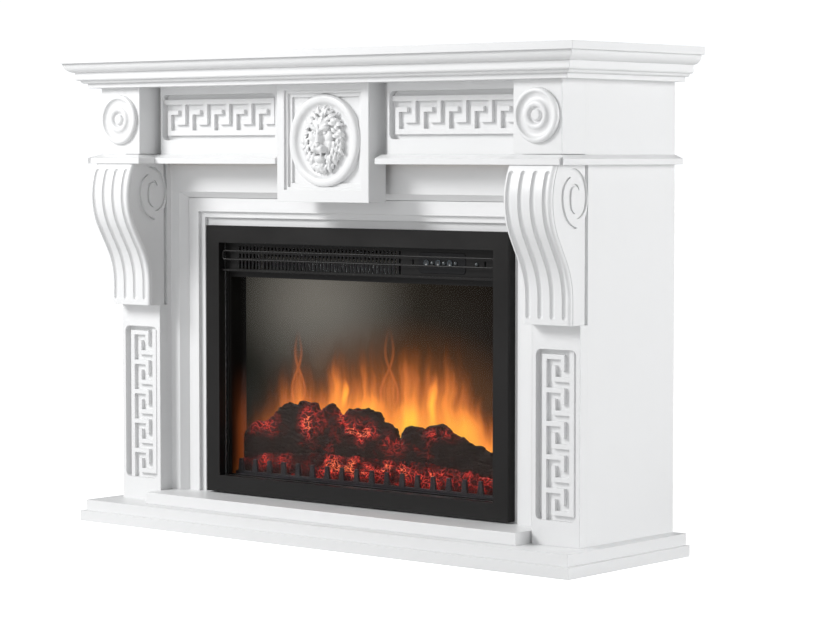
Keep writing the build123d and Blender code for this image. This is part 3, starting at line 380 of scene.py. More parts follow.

# %% [markdown]
# ## The picture of the flames
# Behind the logs stands a frosted screen. A lamp shines past a turning rod of mirrors onto it,
# and the eye reads the moving light as flames. The screen is painted here by its own place in
# width and height. A curve gives the height of the fire along the width. Stretched noise breaks
# it into tongues. Two thin closed loops rise above it, as the mirrors throw them. A pale patch
# above the middle left is a painted reflection of a soft lamp in the glass. The cells below make
# the places, then single marks of light, then the heat of the fire, and last the screen that
# shows them all.

# %% Places on the screen
screen_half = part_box("flame_screen")[1].x
fire_foot = 0.155                  # a height behind the logs, where the fire starts
tallest = 0.225                    # the curve's 1.0 in metres above the foot
fire_heights = [
    # share of the width, height of the fire
    (0.0, 0.30), (0.05, 0.40), (0.11, 0.56), (0.17, 0.72), (0.20, 0.80), (0.25, 0.66),
    (0.30, 0.72), (0.37, 0.84), (0.43, 0.80), (0.50, 0.80), (0.57, 0.84), (0.63, 0.80),
    (0.70, 0.88), (0.76, 0.84), (0.82, 0.68), (0.88, 0.50), (0.94, 0.40), (1.0, 0.32),
]
loops = [
    # middle, foot, half width, rise
    (-0.230, 0.262, 0.021, 0.175), (0.030, 0.262, 0.026, 0.195),
]
hot_spots = [
    # middle, height, half width, half height, added heat
    (-0.100, 0.300, 0.012, 0.040, 0.5), (0.153, 0.300, 0.018, 0.075, 0.5),
    (0.090, 0.255, 0.050, 0.05, 0.3), (-0.016, 0.262, 0.050, 0.05, 0.3),
    (0.240, 0.250, 0.060, 0.05, 0.25), (0.030, 0.330, 0.030, 0.06, 0.2),
]
print("screen half width", round(screen_half, 3))


# %% Marks of light
def spot(tree, x, z, middle, height, wide, tall):
    """1 at a point of the screen, falling to 0 at the given half sizes."""
    dx = maths(tree, "DIVIDE", maths(tree, "SUBTRACT", x, middle), wide)
    dz = maths(tree, "DIVIDE", maths(tree, "SUBTRACT", z, height), tall)
    square = maths(tree, "ADD", maths(tree, "MULTIPLY", dx, dx), maths(tree, "MULTIPLY", dz, dz))
    return stepped(tree, maths(tree, "SQRT", square), 1.0, 0.0)


def flame_loop(tree, x, z, middle, foot, half, rise):
    """A thin line that crosses itself once on its way up and fades at its tip."""
    climb = maths(tree, "DIVIDE", maths(tree, "SUBTRACT", z, foot), rise)
    wave = maths(tree, "ABSOLUTE", maths(tree, "SINE", maths(tree, "MULTIPLY", climb, 2 * pi)))
    narrowing = maths(tree, "SUBTRACT", 1.15, climb)
    wide = maths(tree, "MULTIPLY", maths(tree, "MULTIPLY", wave, half), narrowing)
    away = maths(tree, "ABSOLUTE", maths(tree, "SUBTRACT", x, middle))
    line = maths(tree, "ABSOLUTE", maths(tree, "SUBTRACT", away, wide))
    shown = maths(tree, "MULTIPLY", stepped(tree, climb, 0.0, 0.2), stepped(tree, climb, 1.0, 0.45))
    faded, full = 0.006, 0.0005        # metres from the line's middle
    return maths(tree, "MULTIPLY", stepped(tree, line, faded, full), shown)


def streaks(tree, x, z, across, up, depth):
    """Noise drawn out upwards, as moving light is on the screen."""
    place = add(tree, "CombineXYZ", {0: maths(tree, "MULTIPLY", x, across), 1: depth,
                                     2: maths(tree, "MULTIPLY", z, up)}).outputs[0]
    return add(tree, "TexNoise", {"Vector": place, "Scale": 1.0, "Detail": 3.0}).outputs[0]


print("marks of light ready")


# %% Heat of the fire
sway_reach = 0.055                 # how far the flames lean from side to side, in metres
foot_heat, cooling = 1.58, 1.05    # heat at the foot, and what it loses up to the curve


def swaying(tree, place, x):
    """The place across the width, bent by a slow noise so that no flame stands straight."""
    drift = add(tree, "Mapping", {"Vector": place, "Scale": (6.0, 1.0, 9.0)}).outputs[0]
    sway = add(tree, "TexNoise", {"Vector": drift, "Scale": 1.0, "Detail": 3.0}).outputs[0]
    swing = maths(tree, "MULTIPLY", maths(tree, "SUBTRACT", sway, 0.5), sway_reach)
    return maths(tree, "ADD", x, swing)


def fire_top(tree, along):
    """The height of the fire above its foot, from the curve along the width."""
    curve = add(tree, "FloatCurve", {"Value": along})
    points = curve.mapping.curves[0].points
    while len(points) < len(fire_heights):
        points.new(0.5, 0.5)
    for point, (share, height) in zip(points, fire_heights):
        point.location = (share, height)
    curve.mapping.update()
    return maths(tree, "MULTIPLY", curve.outputs[0], tallest)


def fire_heat(tree, x, z, along):
    """Above 1 deep in the fire; streaks eat tongues into its upper edge, and its ends are cooler."""
    top = fire_top(tree, along)
    climb = maths(tree, "DIVIDE", maths(tree, "SUBTRACT", z, fire_foot), top)
    fine = maths(tree, "SUBTRACT", streaks(tree, x, z, 44.0, 5.0, 0.0), 0.5)
    broad = maths(tree, "SUBTRACT", streaks(tree, x, z, 15.0, 3.0, 4.0), 0.5)
    tongues = maths(tree, "ADD", maths(tree, "MULTIPLY", fine, 0.6), maths(tree, "MULTIPLY", broad, 1.1))
    tongues = maths(tree, "MULTIPLY", tongues, stepped(tree, climb, 0.0, 1.0, 0.4, 1.0))
    body = maths(tree, "SUBTRACT", foot_heat, maths(tree, "MULTIPLY", climb, cooling))
    heat = maths(tree, "ADD", body, tongues)
    left_end = stepped(tree, along, 0.0, 0.24, 0.36, 0.95)
    right_end = stepped(tree, along, 1.05, 0.9, 0.75, 1.0)
    heat = maths(tree, "MULTIPLY", heat, maths(tree, "MULTIPLY", left_end, right_end))
    for middle, height, wide, tall, gain in hot_spots:
        glow = spot(tree, x, z, middle, height, wide, tall)
        heat = maths(tree, "ADD", heat, maths(tree, "MULTIPLY", glow, gain))
    return heat


print("heat of the fire ready")


# %% Flame screen
fire_colours = [
    (0.0, (0.0, 0.0, 0.0)), (0.15, (0.06, 0.016, 0.003)), (0.30, (0.25, 0.060, 0.010)),
    (0.45, (0.60, 0.150, 0.025)), (0.60, (0.90, 0.26, 0.040)), (0.78, (0.97, 0.39, 0.050)),
    (1.0, (1.0, 0.62, 0.055)),
]
dark_colours = [(0.0, (0.006, 0.006, 0.004)), (0.5, (0.020, 0.016, 0.011)), (1.0, (0.005, 0.003, 0.002))]
# the first colour is a painted reflection of a soft lamp in the glass; the second is a low glow of the fire
lamp_reflection_colour, low_glow_colour = (0.150, 0.138, 0.120, 1), (0.24, 0.080, 0.014, 1)
loop_colour = (0.95, 0.22, 0.05, 1)


def make_screen():
    made, tree, shader = new_material("flame screen")
    place = add(tree, "TexCoord").outputs["Object"]
    x, _, z = add(tree, "SeparateXYZ", {0: place}).outputs
    along = maths(tree, "DIVIDE", maths(tree, "ADD", x, screen_half), 2 * screen_half)
    shade = maths(tree, "MULTIPLY", fire_heat(tree, swaying(tree, place, x), z, along), 0.7)
    fire = ramp(tree, shade, fire_colours)

    # behind the flames: a pale patch above the middle left, a painted reflection of a soft lamp in the glass,
    # and brown dark to the right
    lamp_reflection = spot(tree, x, z, -0.17, 0.50, 0.30, 0.24)
    low_glow = spot(tree, x, z, 0.05, 0.25, 0.44, 0.24)
    back = blended(tree, maths(tree, "MULTIPLY", lamp_reflection, 0.95), ramp(tree, along, dark_colours), lamp_reflection_colour)
    back = blended(tree, maths(tree, "MULTIPLY", low_glow, 0.75), back, low_glow_colour)
    light = blended(tree, maths(tree, "MULTIPLY", shade, 1.7, use_clamp=True), back, fire)
    for middle, foot, half, rise in loops:
        line = flame_loop(tree, x, z, middle, foot, half, rise)
        light = blended(tree, maths(tree, "MULTIPLY", line, 0.24), light, loop_colour)
    wire(tree, shader.inputs, **{"Emission Color": light})
    shader.inputs["Base Color"].default_value = (0.004, 0.0035, 0.003, 1)
    shader.inputs["Roughness"].default_value = 0.8
    shader.inputs["Specular IOR Level"].default_value = 0.1
    shader.inputs["Emission Strength"].default_value = 1.1
    return made


finishes["screen_plastic"] = make_screen()
print("flame screen ready")

# %% [markdown]
# ## Glowing coals and bark
# Both are moulded resin, dark outside, lit red from below where the shell is thin. Cracks are
# the borders of a cell pattern, bent by noise so that they wander. Soft round places say where
# they glow, a slow noise breaks those places up, and away from them only a few cracks are lit.


# %% Cracked glow
def make_crack_group():
    """Wandering cracks: a thin bright mask and a wider soft one, for bark and coals."""
    inputs = [("Scale", "Float", 60.0), ("Thin", "Float", 0.05)]
    tree, given, result = new_group("wandering cracks", inputs, [("Crack", "Float"), ("Soft", "Float")])
    place = add(tree, "TexCoord").outputs["Object"]
    bend = add(tree, "TexNoise", {"Vector": place, "Scale": 32.0, "Detail": 4.0}).outputs[1]
    shift = add(tree, "VectorMath", {0: bend, "Scale": 0.05}, operation="SCALE").outputs[0]
    bent = add(tree, "VectorMath", {0: place, 1: shift}, operation="ADD").outputs[0]
    sockets = {"Vector": bent, "Rotation": (0.0, 0.25, 0.0), "Scale": (0.5, 1.0, 1.3)}
    drawn = add(tree, "Mapping", sockets).outputs[0]
    sockets = {"Vector": drawn, "Scale": given["Scale"]}
    border = add(tree, "TexVoronoi", sockets, feature="DISTANCE_TO_EDGE").outputs["Distance"]
    thin = stepped(tree, border, given["Thin"], 0.0)
    wire(tree, result, Crack=thin, Soft=stepped(tree, border, 0.3, 0.0))
    return tree


crack_group = make_crack_group()
print("group", crack_group.name)


# %% Coals
crack_colours = [
    (0.0, (0.0, 0.0, 0.0)), (0.25, (0.10, 0.005, 0.004)), (0.6, (0.55, 0.025, 0.02)),
    (0.85, (0.95, 0.10, 0.05)), (1.0, (1.0, 0.32, 0.10)),
]
wash_colours = [(0.0, (0.0, 0.0, 0.0)), (1.0, (0.30, 0.012, 0.010))]
soot_dust = (0.16, 0.145, 0.13, 1)


def make_coals(name, dark, ash, crack_scale, glows, wash_strength, stray):
    """Dark lumps with glowing cracks; glows are (x, z, half width, half height, strength)."""
    made, tree, shader = new_material(name)
    place = add(tree, "TexCoord").outputs["Object"]
    axes = add(tree, "SeparateXYZ", {0: place}).outputs
    cracks = placed(tree, crack_group, Scale=crack_scale, Thin=0.10)
    slow = add(tree, "TexNoise", {"Vector": place, "Scale": 26.0, "Detail": 3.0}).outputs[0]
    grit = add(tree, "TexNoise", {"Vector": place, "Scale": 260.0, "Detail": 6.0}).outputs[0]
    lit = maths(tree, "MULTIPLY", stepped(tree, slow, 0.55, 0.70), stray)
    for middle, height, wide, tall, gain in glows:
        here = spot(tree, axes[0], axes[2], middle, height, wide, tall)
        lit = maths(tree, "MAXIMUM", lit, maths(tree, "MULTIPLY", here, gain))
    lit = maths(tree, "MULTIPLY", lit, stepped(tree, slow, 0.36, 0.56, 0.10, 1.2))
    settled = placed(tree, dust_group, Amount=0.12)
    base = blended(tree, grit, (*dark, 1), (*ash, 1))
    base = blended(tree, settled["Mask"], base, soot_dust)
    glow = maths(tree, "MULTIPLY", cracks["Crack"], lit)
    halo = maths(tree, "MULTIPLY", cracks["Soft"], lit)
    colour = ramp(tree, glow, crack_colours)
    spread = maths(tree, "ADD", maths(tree, "MULTIPLY", halo, 0.7), maths(tree, "MULTIPLY", lit, 0.3))
    wash = ramp(tree, spread, wash_colours)
    wash = blended(tree, 1.0, wash, (wash_strength,) * 3 + (1,), "MULTIPLY")
    colour = blended(tree, 1.0, colour, wash, "ADD")
    sunk = maths(tree, "MULTIPLY", cracks["Soft"], -1.0)
    height = maths(tree, "ADD", maths(tree, "MULTIPLY", grit, 0.5), sunk)
    wire(tree, shader.inputs, **{"Base Color": base, "Emission Color": colour})
    shader.inputs["Roughness"].default_value = 0.85
    shader.inputs["Specular IOR Level"].default_value = 0.25
    shader.inputs["Emission Strength"].default_value = 1.0
    bumped(tree, shader, height, 0.0012)
    return made


bed_glows = [
    (-0.29, 0.150, 0.12, 0.04, 0.7), (-0.07, 0.145, 0.16, 0.05, 1.15), (0.06, 0.145, 0.13, 0.055, 1.1),
    (0.17, 0.145, 0.13, 0.05, 0.85), (0.30, 0.150, 0.12, 0.05, 0.7),
]
log_glows = [
    (-0.31, 0.218, 0.08, 0.035, 0.7), (-0.175, 0.232, 0.05, 0.055, 1.15), (-0.105, 0.245, 0.06, 0.03, 1.0),
    (-0.04, 0.222, 0.10, 0.045, 1.05), (0.05, 0.20, 0.07, 0.05, 0.5), (0.19, 0.230, 0.10, 0.022, 0.7),
]
finishes["ember_resin"] = make_coals("glowing coals", (0.008, 0.004, 0.003), (0.030, 0.017, 0.012),
                                     crack_scale=105.0, glows=bed_glows, wash_strength=0.55, stray=0.5)
finishes["log_resin"] = make_coals("charred bark", (0.009, 0.0045, 0.003), (0.034, 0.020, 0.014),
                                   crack_scale=80.0, glows=log_glows, wash_strength=0.5, stray=0.3)
print(len(finishes), "finishes in all")

# %% [markdown]
# ## Dress the designed pieces
# The record says which material slot each designed piece belongs to, so one loop gives every
# piece its finish.

# %% Dress the nodes
for part in frame["record"]["subparts"]:
    piece = nodes[part["node"]]
    piece.data.materials.clear()
    piece.data.materials.append(finishes[part["material_slot"]])

# %% [markdown]
# The cheeks of the window stand beside the fire, and its light falls on their lower part. They
# keep the black enamel, and that firelight is painted on as a faint warm glow that grows towards
# the back and the floor.


# %% Cheeks by the fire
def make_enamel_with_painted_firelight():
    made = finishes["black_enamel"].copy()
    made.name = "black enamel with painted firelight"
    tree = made.node_tree
    shader = next(node for node in tree.nodes if node.type == "BSDF_PRINCIPLED")
    axes = add(tree, "SeparateXYZ", {0: add(tree, "TexCoord").outputs["Object"]}).outputs
    # painted firelight: a warm glow, strongest low down and towards the back
    low = stepped(tree, axes[2], 0.36, 0.20)
    deep = stepped(tree, axes[1], -0.014, 0.035)
    glow = maths(tree, "MULTIPLY", low, deep)
    unlit, dim, warm = (0.0, 0.0, 0.0), (0.03, 0.007, 0.002), (0.16, 0.034, 0.007)
    colour = ramp(tree, glow, [(0.0, unlit), (0.4, dim), (1.0, warm)])
    wire(tree, shader.inputs, **{"Emission Color": colour})
    shader.inputs["Emission Strength"].default_value = 1.0
    return made


nodes["window_bezel"].data.materials[0] = make_enamel_with_painted_firelight()
print("cheeks lit")

# %% [markdown]
# ## Tools for new pieces
# New pieces start as bmesh shapes. One helper turns a finished bmesh into an object, gives it a
# finish and a body to ride on. Another blends a heap of overlapping shapes into one skin with a
# voxel remesh, which is how a carver's clay sketch becomes one surface.


# %% Piece helpers
def finished(bm, name, slot, body="mantel", stands_for=()):
    """Makes the bmesh an object with the finish of its slot, riding on a body."""
    mesh = bpy.data.meshes.new(name)
    bmesh.ops.recalc_face_normals(bm, faces=bm.faces)
    bm.to_mesh(mesh)
    bm.free()
    piece = bpy.data.objects.new(name, mesh)
    bpy.context.scene.collection.objects.link(piece)
    mesh.materials.append(finishes[slot])
    mesh.shade_smooth()
    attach(piece, body)
    if stands_for:
        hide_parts(*stands_for)
    return piece


def fused(bm, voxel, rounds):
    """One skin round all the shapes of a bmesh, smoothed a few times."""
    mesh = bpy.data.meshes.new("clay")
    bm.to_mesh(mesh)
    bm.free()
    clay = bpy.data.objects.new("clay", mesh)
    bpy.context.scene.collection.objects.link(clay)
    remesh = clay.modifiers.new("one skin", "REMESH")
    remesh.mode = "VOXEL"
    remesh.voxel_size = voxel
    skin = clay.evaluated_get(bpy.context.evaluated_depsgraph_get())
    made = bmesh.new()
    made.from_mesh(skin.to_mesh())
    bpy.data.objects.remove(clay)
    for _ in range(rounds):
        bmesh.ops.smooth_vert(made, verts=made.verts, factor=0.5, use_axis_x=True, use_axis_y=True,
                              use_axis_z=True)
    return made


def ball(bm, centre, radii, turn=0.0, detail=3):
    """An ellipsoid, turned in degrees about the direction that faces the room."""
    turned = Matrix.Rotation(radians(turn), 4, "Z")
    matrix = Matrix.Translation(centre) @ turned @ Matrix.Diagonal((*radii, 1.0))
    bmesh.ops.create_icosphere(bm, subdivisions=detail, radius=1.0, matrix=matrix)


print("piece helpers ready")

# %% [markdown]
# ## The lion
# The head is a carving about 120 mm wide and 146 mm high on the dish of the medallion. It is
# modelled in two passes, as a carver works. First come the large masses and the mane, joined
# into one skin, with the sockets, the mouth and the hollows of the cheeks pressed in. Then the
# eyes, lids, nose and teeth are laid into those hollows, and a finer skin joins everything.
# Sizes are millimetres, with x across, y up and z towards the room.

# %% Masses of the head
central_masses = [
    # centre across, up, out; half sizes
    ((0, 2, 0), (55, 61, 9)), ((0, 6, 4), (34, 46, 14)), ((0, 32, 10), (24, 17, 12)),
    ((0, 4, 19), (7.5, 24, 9)), ((0, -37, 16), (14, 10, 10)), ((0, -45, 11), (12, 9, 8)),
    ((0, -15, 20), (13, 9, 9)),
]
paired_masses = [
    # the same on both sides: centre, half sizes, turn in degrees for the positive side
    ((13, 26, 17), (13, 6, 7), 16), ((23, 8, 12), (11, 13, 8), 0), ((23, -9, 11), (9, 16, 8), -14),
    ((9.5, -17, 22), (11, 9, 9), -10), ((17, -30, 12), (6, 14, 8), 20), ((32, 38, 9), (9, 10, 7), 35),
    ((5, 36, 18), (3.4, 11, 4), -14),
]
hollows = [
    # centre, half width, half height, depth; on both sides
    ((13.5, 15.5), 9.5, 6.5, 6.5), ((5.5, 14), 3.6, 4.0, 3.0), ((19, -15), 5.5, 11.0, 4.5),
    ((6, -28.5), 9.5, 4.6, 11.0), ((14.5, -27), 4.5, 5.0, 5.0), ((0.0, 27), 2.4, 9.0, 3.0),
    ((11, 2), 4.0, 9.0, 2.5), ((12, -46), 5.0, 4.0, 3.0),
]
features = [
    # laid in afterwards, on both sides
    ((13, 15.0, 15.0), (4.6, 3.9, 4.4), 0), ((13.5, 20.2, 16.5), (7.5, 1.6, 3.0), 10),
    ((13, 9.8, 14.5), (7.0, 1.4, 2.6), 6),
    ((4.0, -10, 27.5), (4.8, 4.6, 5.5), 0), ((0, -7, 28), (6.5, 4.5, 5.0), 0),
    ((8.5, -27, 23), (2.1, 6.0, 2.6), 4), ((7.5, -32, 20), (1.9, 5.0, 2.4), -4),
    ((2.6, -25, 21.5), (2.0, 3.2, 2.0), 0), ((2.4, -34, 18.5), (1.9, 2.8, 2.0), 0),
    ((0, -32, 14), (6.0, 3.0, 4.0), 0), ((17, 31, 21), (9.0, 2.6, 3.6), 24),
]
print(len(central_masses), len(paired_masses), len(features), "masses, pairs and features")


# %% Mane
dish = 2.5                         # the least height of a lock over the dish of the medallion
strand_apart, strand_thick = 0.62, 0.42        # of the two side strands, beside the lock's radius


def lock(bm, start, heading, bend, length, thick):
    """A lock of mane: a string of balls that leaves the face, bends and tapers to a tip."""
    steps = 14
    position = Vector(start)
    lift = position.z
    for step in range(steps):
        t = step / (steps - 1)
        radius = thick * (0.6 + 0.55 * sin(pi * min(1.0, 1.25 * t))) * (1.0 - 0.8 * t ** 2.2)
        turned = heading + bend * sin(1.7 * pi * t)
        ball(bm, position, (radius, radius, radius), detail=1)
        for side in (-strand_apart, strand_apart):
            strand = position + Vector((-sin(turned), cos(turned), 0.75)) * Vector((side, side, 1.0)) * radius
            ball(bm, strand, (strand_thick * radius,) * 3, detail=1)
        position = position + Vector((cos(turned), sin(turned), 0.0)) * length / steps
        position.z = max(dish, lift * (1.0 - 0.55 * t ** 1.5) + 1.5 * sin(2.0 * pi * t))


mane_rings = [
    # half width and half height of the ring, locks, their length, thickness and height
    ((35, 45), 20, 27.0, 4.1, 13.0), ((42, 51), 24, 27.0, 4.3, 10.0), ((49, 56), 28, 21.0, 4.2, 7.0),
]


def make_mane(bm):
    """Three rings of locks that part above the brow, fall along the cheeks and meet as a beard."""
    for index, ((across, up), count, length, thick, lift) in enumerate(mane_rings):
        for number in range(count):
            angle = 2 * pi * (number + 0.5 * (index % 2) + 0.25) / count
            side = 1.0 if sin(angle) > 0 else -1.0
            out = Vector((sin(angle), cos(angle)))
            down = Vector((cos(angle), -sin(angle))) * side
            fall = 0.30 + 1.15 * sin(angle) ** 2
            flow = out + fall * down
            jitter = noise.noise(Vector((number * 1.7, index * 5.3, 0.5)))
            bend = side * (-0.55 + 0.5 * jitter) * (1.0 if number % 4 else -0.6)
            start = (across * sin(angle), up * cos(angle) + 1.0, lift + 2.0 * jitter)
            lock(bm, start, atan2(flow.y, flow.x), bend, length * (1.0 + 0.3 * jitter), thick)


print("mane of", sum(ring[1] for ring in mane_rings), "locks")


# %% Lion
first_voxel, last_voxel = 0.9, 0.8     # of the two skins, in millimetres
press_floor = 3.0                      # nothing below this height is pressed


def pressed(bm, places):
    """Pushes the surface back inside each ellipse, on both sides, softly."""
    for across in (1, -1):
        for (x, y), wide, tall, deep in places:
            for vert in bm.verts:
                away = ((vert.co.x - x * across) / wide) ** 2 + ((vert.co.y - y) / tall) ** 2
                if away < 1.0 and vert.co.z > press_floor:
                    vert.co.z = max(press_floor, vert.co.z - deep * (1.0 - away) ** 2)


def both_sides(bm, masses):
    """Each mass on the positive side, and its mirror image."""
    for (x, y, z), radii, turn in masses:
        ball(bm, (x, y, z), radii, turn)
        ball(bm, (-x, y, z), radii, -turn)


def make_lion():
    clay = bmesh.new()
    for centre, radii in central_masses:
        ball(clay, centre, radii)
    both_sides(clay, paired_masses)
    make_mane(clay)
    skin = fused(clay, first_voxel, rounds=2)
    pressed(skin, hollows)
    both_sides(skin, features)
    skin = fused(skin, last_voxel, rounds=1)
    whole = [*skin.verts, *skin.edges, *skin.faces]
    cut = bmesh.ops.bisect_plane(skin, geom=whole, plane_co=(0, 0, 0.2), plane_no=(0, 0, -1),
                                 clear_outer=True)
    rim = [item for item in cut["geom_cut"] if isinstance(item, bmesh.types.BMEdge)]
    bmesh.ops.holes_fill(skin, edges=rim, sides=0)
    low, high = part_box("lion_mask")
    place = Matrix.Translation(((low.x + high.x) / 2, high.y, (low.z + high.z) / 2))
    upright = place @ Matrix.Rotation(pi / 2, 4, "X")
    bmesh.ops.transform(skin, matrix=upright @ Matrix.Scale(0.001, 4), verts=skin.verts)
    return finished(skin, "carved_lion", "white_paint", stands_for=("lion_mask",))


lion = make_lion()
print("lion", len(lion.data.polygons), "faces")

# %% [markdown]
# ## Logs
# The log set is one moulding: charred stubs that lie across each other in two mounds. Each stub
# is a string of balls flattened to the depth behind the glass, and a voxel skin joins them all.
# Then the surface is moved along its normals: ridges drawn out along the width make bark, and
# slower lumps make knots. The lumps stay real geometry, because their outline shows against
# the fire.

# %% Log places
stubs = [
    # x and z of both ends and the radius, in metres
    (-0.385, 0.168, -0.215, 0.234, 0.034), (-0.350, 0.160, -0.120, 0.196, 0.036),
    (-0.250, 0.238, -0.180, 0.246, 0.030), (-0.140, 0.236, -0.118, 0.244, 0.030),
    (-0.170, 0.214, 0.030, 0.208, 0.040), (-0.058, 0.240, -0.004, 0.240, 0.031),
    (-0.100, 0.178, 0.120, 0.180, 0.034), (0.105, 0.205, 0.185, 0.216, 0.034),
    (0.165, 0.214, 0.345, 0.156, 0.035), (0.110, 0.172, 0.320, 0.156, 0.034),
]
log_low, log_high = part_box("log_set")
bed_low, bed_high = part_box("ember_bed")
log_front = log_low.y + 0.014          # leaves room for the embers in front
print(len(stubs), "stubs, the heap", round(log_high.y - log_front, 3), "deep")


# %% Logs
ridge_depth, grain_depth, knot_depth = 0.0030, 0.0014, 0.0065
log_voxel = 0.0022


def make_stub(bm, x0, z0, x1, z1, radius):
    """One stub: balls in a row, each a little larger or smaller, as flat as the room allows."""
    count = int((x1 - x0) / (0.55 * radius)) + 2
    half_depth = (log_high.y - log_front) / 2
    for number in range(count):
        share = number / (count - 1)
        place = Vector((x0 + share * (x1 - x0), log_front + half_depth, z0 + share * (z1 - z0)))
        size = radius * (1.0 + 0.16 * noise.noise(place * 47.0))
        ball(bm, place, (size, half_depth * 0.92, size))


def charred(bm, lengthwise):
    """Bark: ridges drawn out along the width, over slower knots."""
    bm.normal_update()
    moves = []
    for vert in bm.verts:
        x, y, z = vert.co
        slope = 0.25 * (1.0 if x < -0.12 else -0.3)
        bent = z + slope * x + 0.01 * noise.noise(Vector((x * 20, 0.0, z * 20)))
        ridge = 1.0 - 2.0 * abs(noise.noise(Vector((x * lengthwise, y * 40, bent * 130))))
        fine = noise.fractal(Vector((x * 90, y * 90, bent * 260)), 0.8, 2.1, 3)
        knot = noise.noise(Vector((x * 34, y * 34 + 3.0, z * 34)))
        moves.append(vert.normal * (ridge_depth * ridge + grain_depth * fine + knot_depth * knot))
    for vert, move in zip(bm.verts, moves):
        vert.co += move
        vert.co.y = min(max(vert.co.y, log_front), log_high.y)
        vert.co.x = min(max(vert.co.x, log_low.x), log_high.x)


def make_logs():
    clay = bmesh.new()
    for stub in stubs:
        make_stub(clay, *stub)
    heap = fused(clay, log_voxel, rounds=2)
    charred(heap, lengthwise=16.0)
    return finished(heap, "moulded_logs", "log_resin", stands_for=("log_set",))


log_heap = make_logs()
print("logs", len(log_heap.data.polygons), "faces")

# %% [markdown]
# ## Ember bed
# The bed is one moulded sheet of coals that slopes up and back. A grid is laid on that slope
# and pushed out by a cell pattern, which makes round lumps with creases between them. Solidify
# gives it the wall of the moulding.


# %% Ember bed
lump_depth, crumb_depth, bed_wall = 0.007, 0.003, 0.003


def make_embers():
    bed = bmesh.new()
    width = bed_high.x - bed_low.x
    bmesh.ops.create_grid(bed, x_segments=320, y_segments=44, size=0.5)
    rise = bed_high.z - bed_low.z
    for vert in bed.verts:
        t = vert.co.y + 0.5            # 0 at the front edge, 1 at the back
        x = vert.co.x * width + (bed_low.x + bed_high.x) / 2
        crest = 1.20 - 0.35 * (x / bed_high.x) ** 4 + 0.10 * noise.noise(Vector((x * 11, 2.0, 0.0)))
        y = bed_low.y + 0.007 + 0.009 * t ** 1.8
        z = bed_low.z + 0.004 + rise * crest * t ** 0.85
        lump = noise.voronoi(Vector((x * 58, t * 5.4, 1.0)))[0]
        crumbs = noise.fractal(Vector((x * 160, t * 14, 3.0)), 0.8, 2.1, 3)
        push = lump_depth * (0.55 - lump[0]) + crumb_depth * crumbs
        vert.co = Vector((x, y - 0.9 * push, z + 0.6 * push))
    bmesh.ops.solidify(bed, geom=bed.faces[:], thickness=bed_wall)
    for vert in bed.verts:
        vert.co.y = min(max(vert.co.y, bed_low.y + 0.0005), bed_high.y)
        vert.co.x = min(max(vert.co.x, bed_low.x), bed_high.x)
    return finished(bed, "moulded_embers", "ember_resin", stands_for=("ember_bed",))


embers = make_embers()
print("embers", len(embers.data.polygons), "faces")

# %% [markdown]
# ## Button rings
# Each push button carries a thin bright ring round its dish. A ring is a small circle spun
# once round the button's middle, and it rides on the button, so it goes in when pressed.

# %% Button rings
ring_radius, wire_radius = 0.0056, 0.00045
finishes["bright_ring"] = coated("bright ring", (0.13, 0.18, 0.21), (0.11, 0.15, 0.18), (0.25, 0.35), 1.0,
                                 peel=1500.0, depth=0.00001, edge=0.0002)


def make_ring(node, body):
    low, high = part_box(node)
    middle = Vector(((low.x + high.x) / 2, low.y, (low.z + high.z) / 2))
    ring = bmesh.new()
    start = Matrix.Translation(middle + Vector((ring_radius, 0.0001, 0)))
    bmesh.ops.create_circle(ring, segments=10, radius=wire_radius, matrix=start)
    bmesh.ops.spin(ring, geom=[*ring.verts, *ring.edges], cent=middle, axis=(0, 1, 0), angle=2 * pi,
                   steps=48, use_merge=True)
    bmesh.ops.remove_doubles(ring, verts=ring.verts, dist=0.00001)
    piece = finished(ring, "ring_" + node, "button_plastic", body)
    piece.data.materials[0] = finishes["bright_ring"]
    return piece


for label in ("power", "flame", "heat"):
    made = make_ring("button_" + label, label + "_button")
    print("ring", made.name, len(made.data.polygons), "faces")

# %% [markdown]
# ## Floor, light and camera
# The object stands on a plain white floor. A large soft lamp from the upper left front models
# the carving, a weak one in front opens its shadows, one from the right rear lifts the side
# panel, and a pale sky fills the rest. The sky is white where the camera sees it and dimmer as
# a light, so that the glass doesn't mirror a white room. The camera stands well back with a
# long lens, which keeps the lines of the joinery nearly parallel.


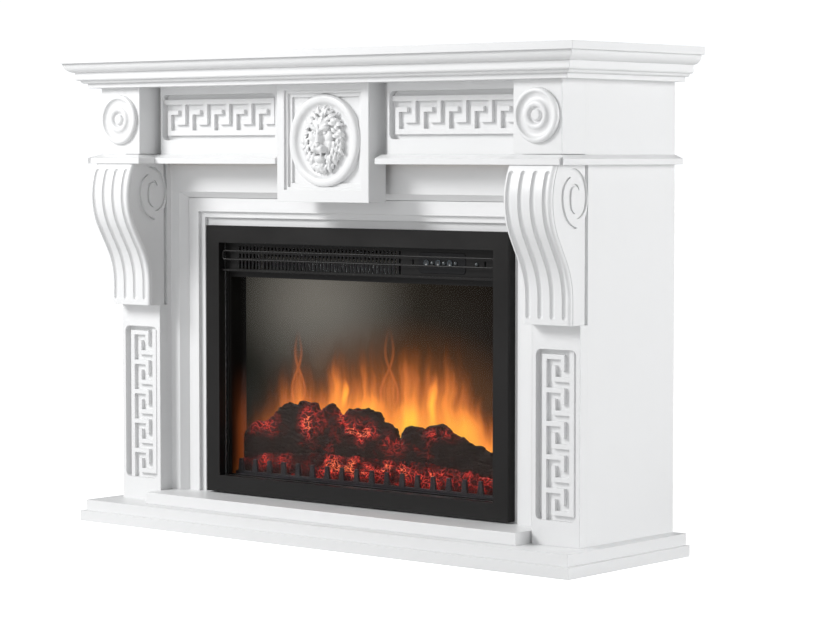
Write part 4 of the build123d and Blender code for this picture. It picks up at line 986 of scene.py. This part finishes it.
# %% Floor
def make_floor():
    made, tree, shader = new_material("pale floor")
    place = add(tree, "TexCoord").outputs["Object"]
    cloud = add(tree, "TexNoise", {"Vector": place, "Scale": 3.0}).outputs[0]
    base = blended(tree, cloud, (0.70, 0.70, 0.70, 1), (0.68, 0.68, 0.68, 1))
    seen = add(tree, "LightPath").outputs["Is Camera Ray"]
    shown_white = maths(tree, "MULTIPLY", seen, 0.80)
    wire(tree, shader.inputs, **{"Base Color": base, "Emission Strength": shown_white})
    shader.inputs["Emission Color"].default_value = (1, 1, 1, 1)
    shader.inputs["Roughness"].default_value = 0.9
    shader.inputs["Specular IOR Level"].default_value = 0.0
    sheet = bmesh.new()
    bmesh.ops.create_grid(sheet, x_segments=1, y_segments=1, size=60.0)
    mesh = bpy.data.meshes.new("floor")
    sheet.to_mesh(mesh)
    sheet.free()
    mesh.materials.append(made)
    floor = bpy.data.objects.new("floor", mesh)
    bpy.context.scene.collection.objects.link(floor)
    return floor


print("floor", make_floor().name)


# %% Sky
def make_sky(seen, given):
    """A sky that the camera sees at one level and that lights the scene at another."""
    world = bpy.data.worlds.new("studio")
    bpy.context.scene.world = world
    world.use_nodes = True
    tree = world.node_tree
    tree.nodes.clear()
    camera_ray = add(tree, "LightPath").outputs["Is Camera Ray"]
    level = maths(tree, "ADD", given, maths(tree, "MULTIPLY", camera_ray, seen - given))
    sky = add(tree, "Background", {"Color": (0.97, 0.985, 1.0, 1), "Strength": level})
    output = add(tree, "OutputWorld")
    tree.links.new(sky.outputs[0], output.inputs[0])


make_sky(seen=1.1, given=0.38)
print("sky ready")


# %% Lamps
def lamp(name, place, aim, size, power):
    """A round soft lamp that faces the aim; size in metres across, power in watts."""
    data = bpy.data.lights.new(name, "AREA")
    data.shape = "DISK"
    data.size = size
    data.energy = power
    made = bpy.data.objects.new(name, data)
    made.location = place
    made.rotation_euler = (Vector(aim) - Vector(place)).to_track_quat("-Z", "Y").to_euler()
    bpy.context.scene.collection.objects.link(made)


lamp("key", (-2.3, -3.1, 2.7), (0.0, 0.0, 0.6), 1.8, 150.0)
lamp("fill", (0.8, -5.0, 1.0), (0.0, 0.0, 0.6), 3.0, 30.0)
lamp("side", (4.2, 1.2, 1.4), (0.7, 0.1, 0.5), 2.4, 100.0)
print("lamps ready")

# %% Camera
camera_data = bpy.data.cameras.new("camera")
camera_data.lens = 120.39
camera_data.sensor_width = 36.0
camera = bpy.data.objects.new("camera", camera_data)
camera.location = (3.8315, -4.4065, 0.8135)
aim = Vector((0.0003, 0.1614, 0.4773))
camera.rotation_euler = (aim - camera.location).to_track_quat("-Z", "Y").to_euler()
bpy.context.scene.collection.objects.link(camera)
bpy.context.scene.camera = camera
bpy.context.scene.view_settings.view_transform = "Standard"
print("camera ready")
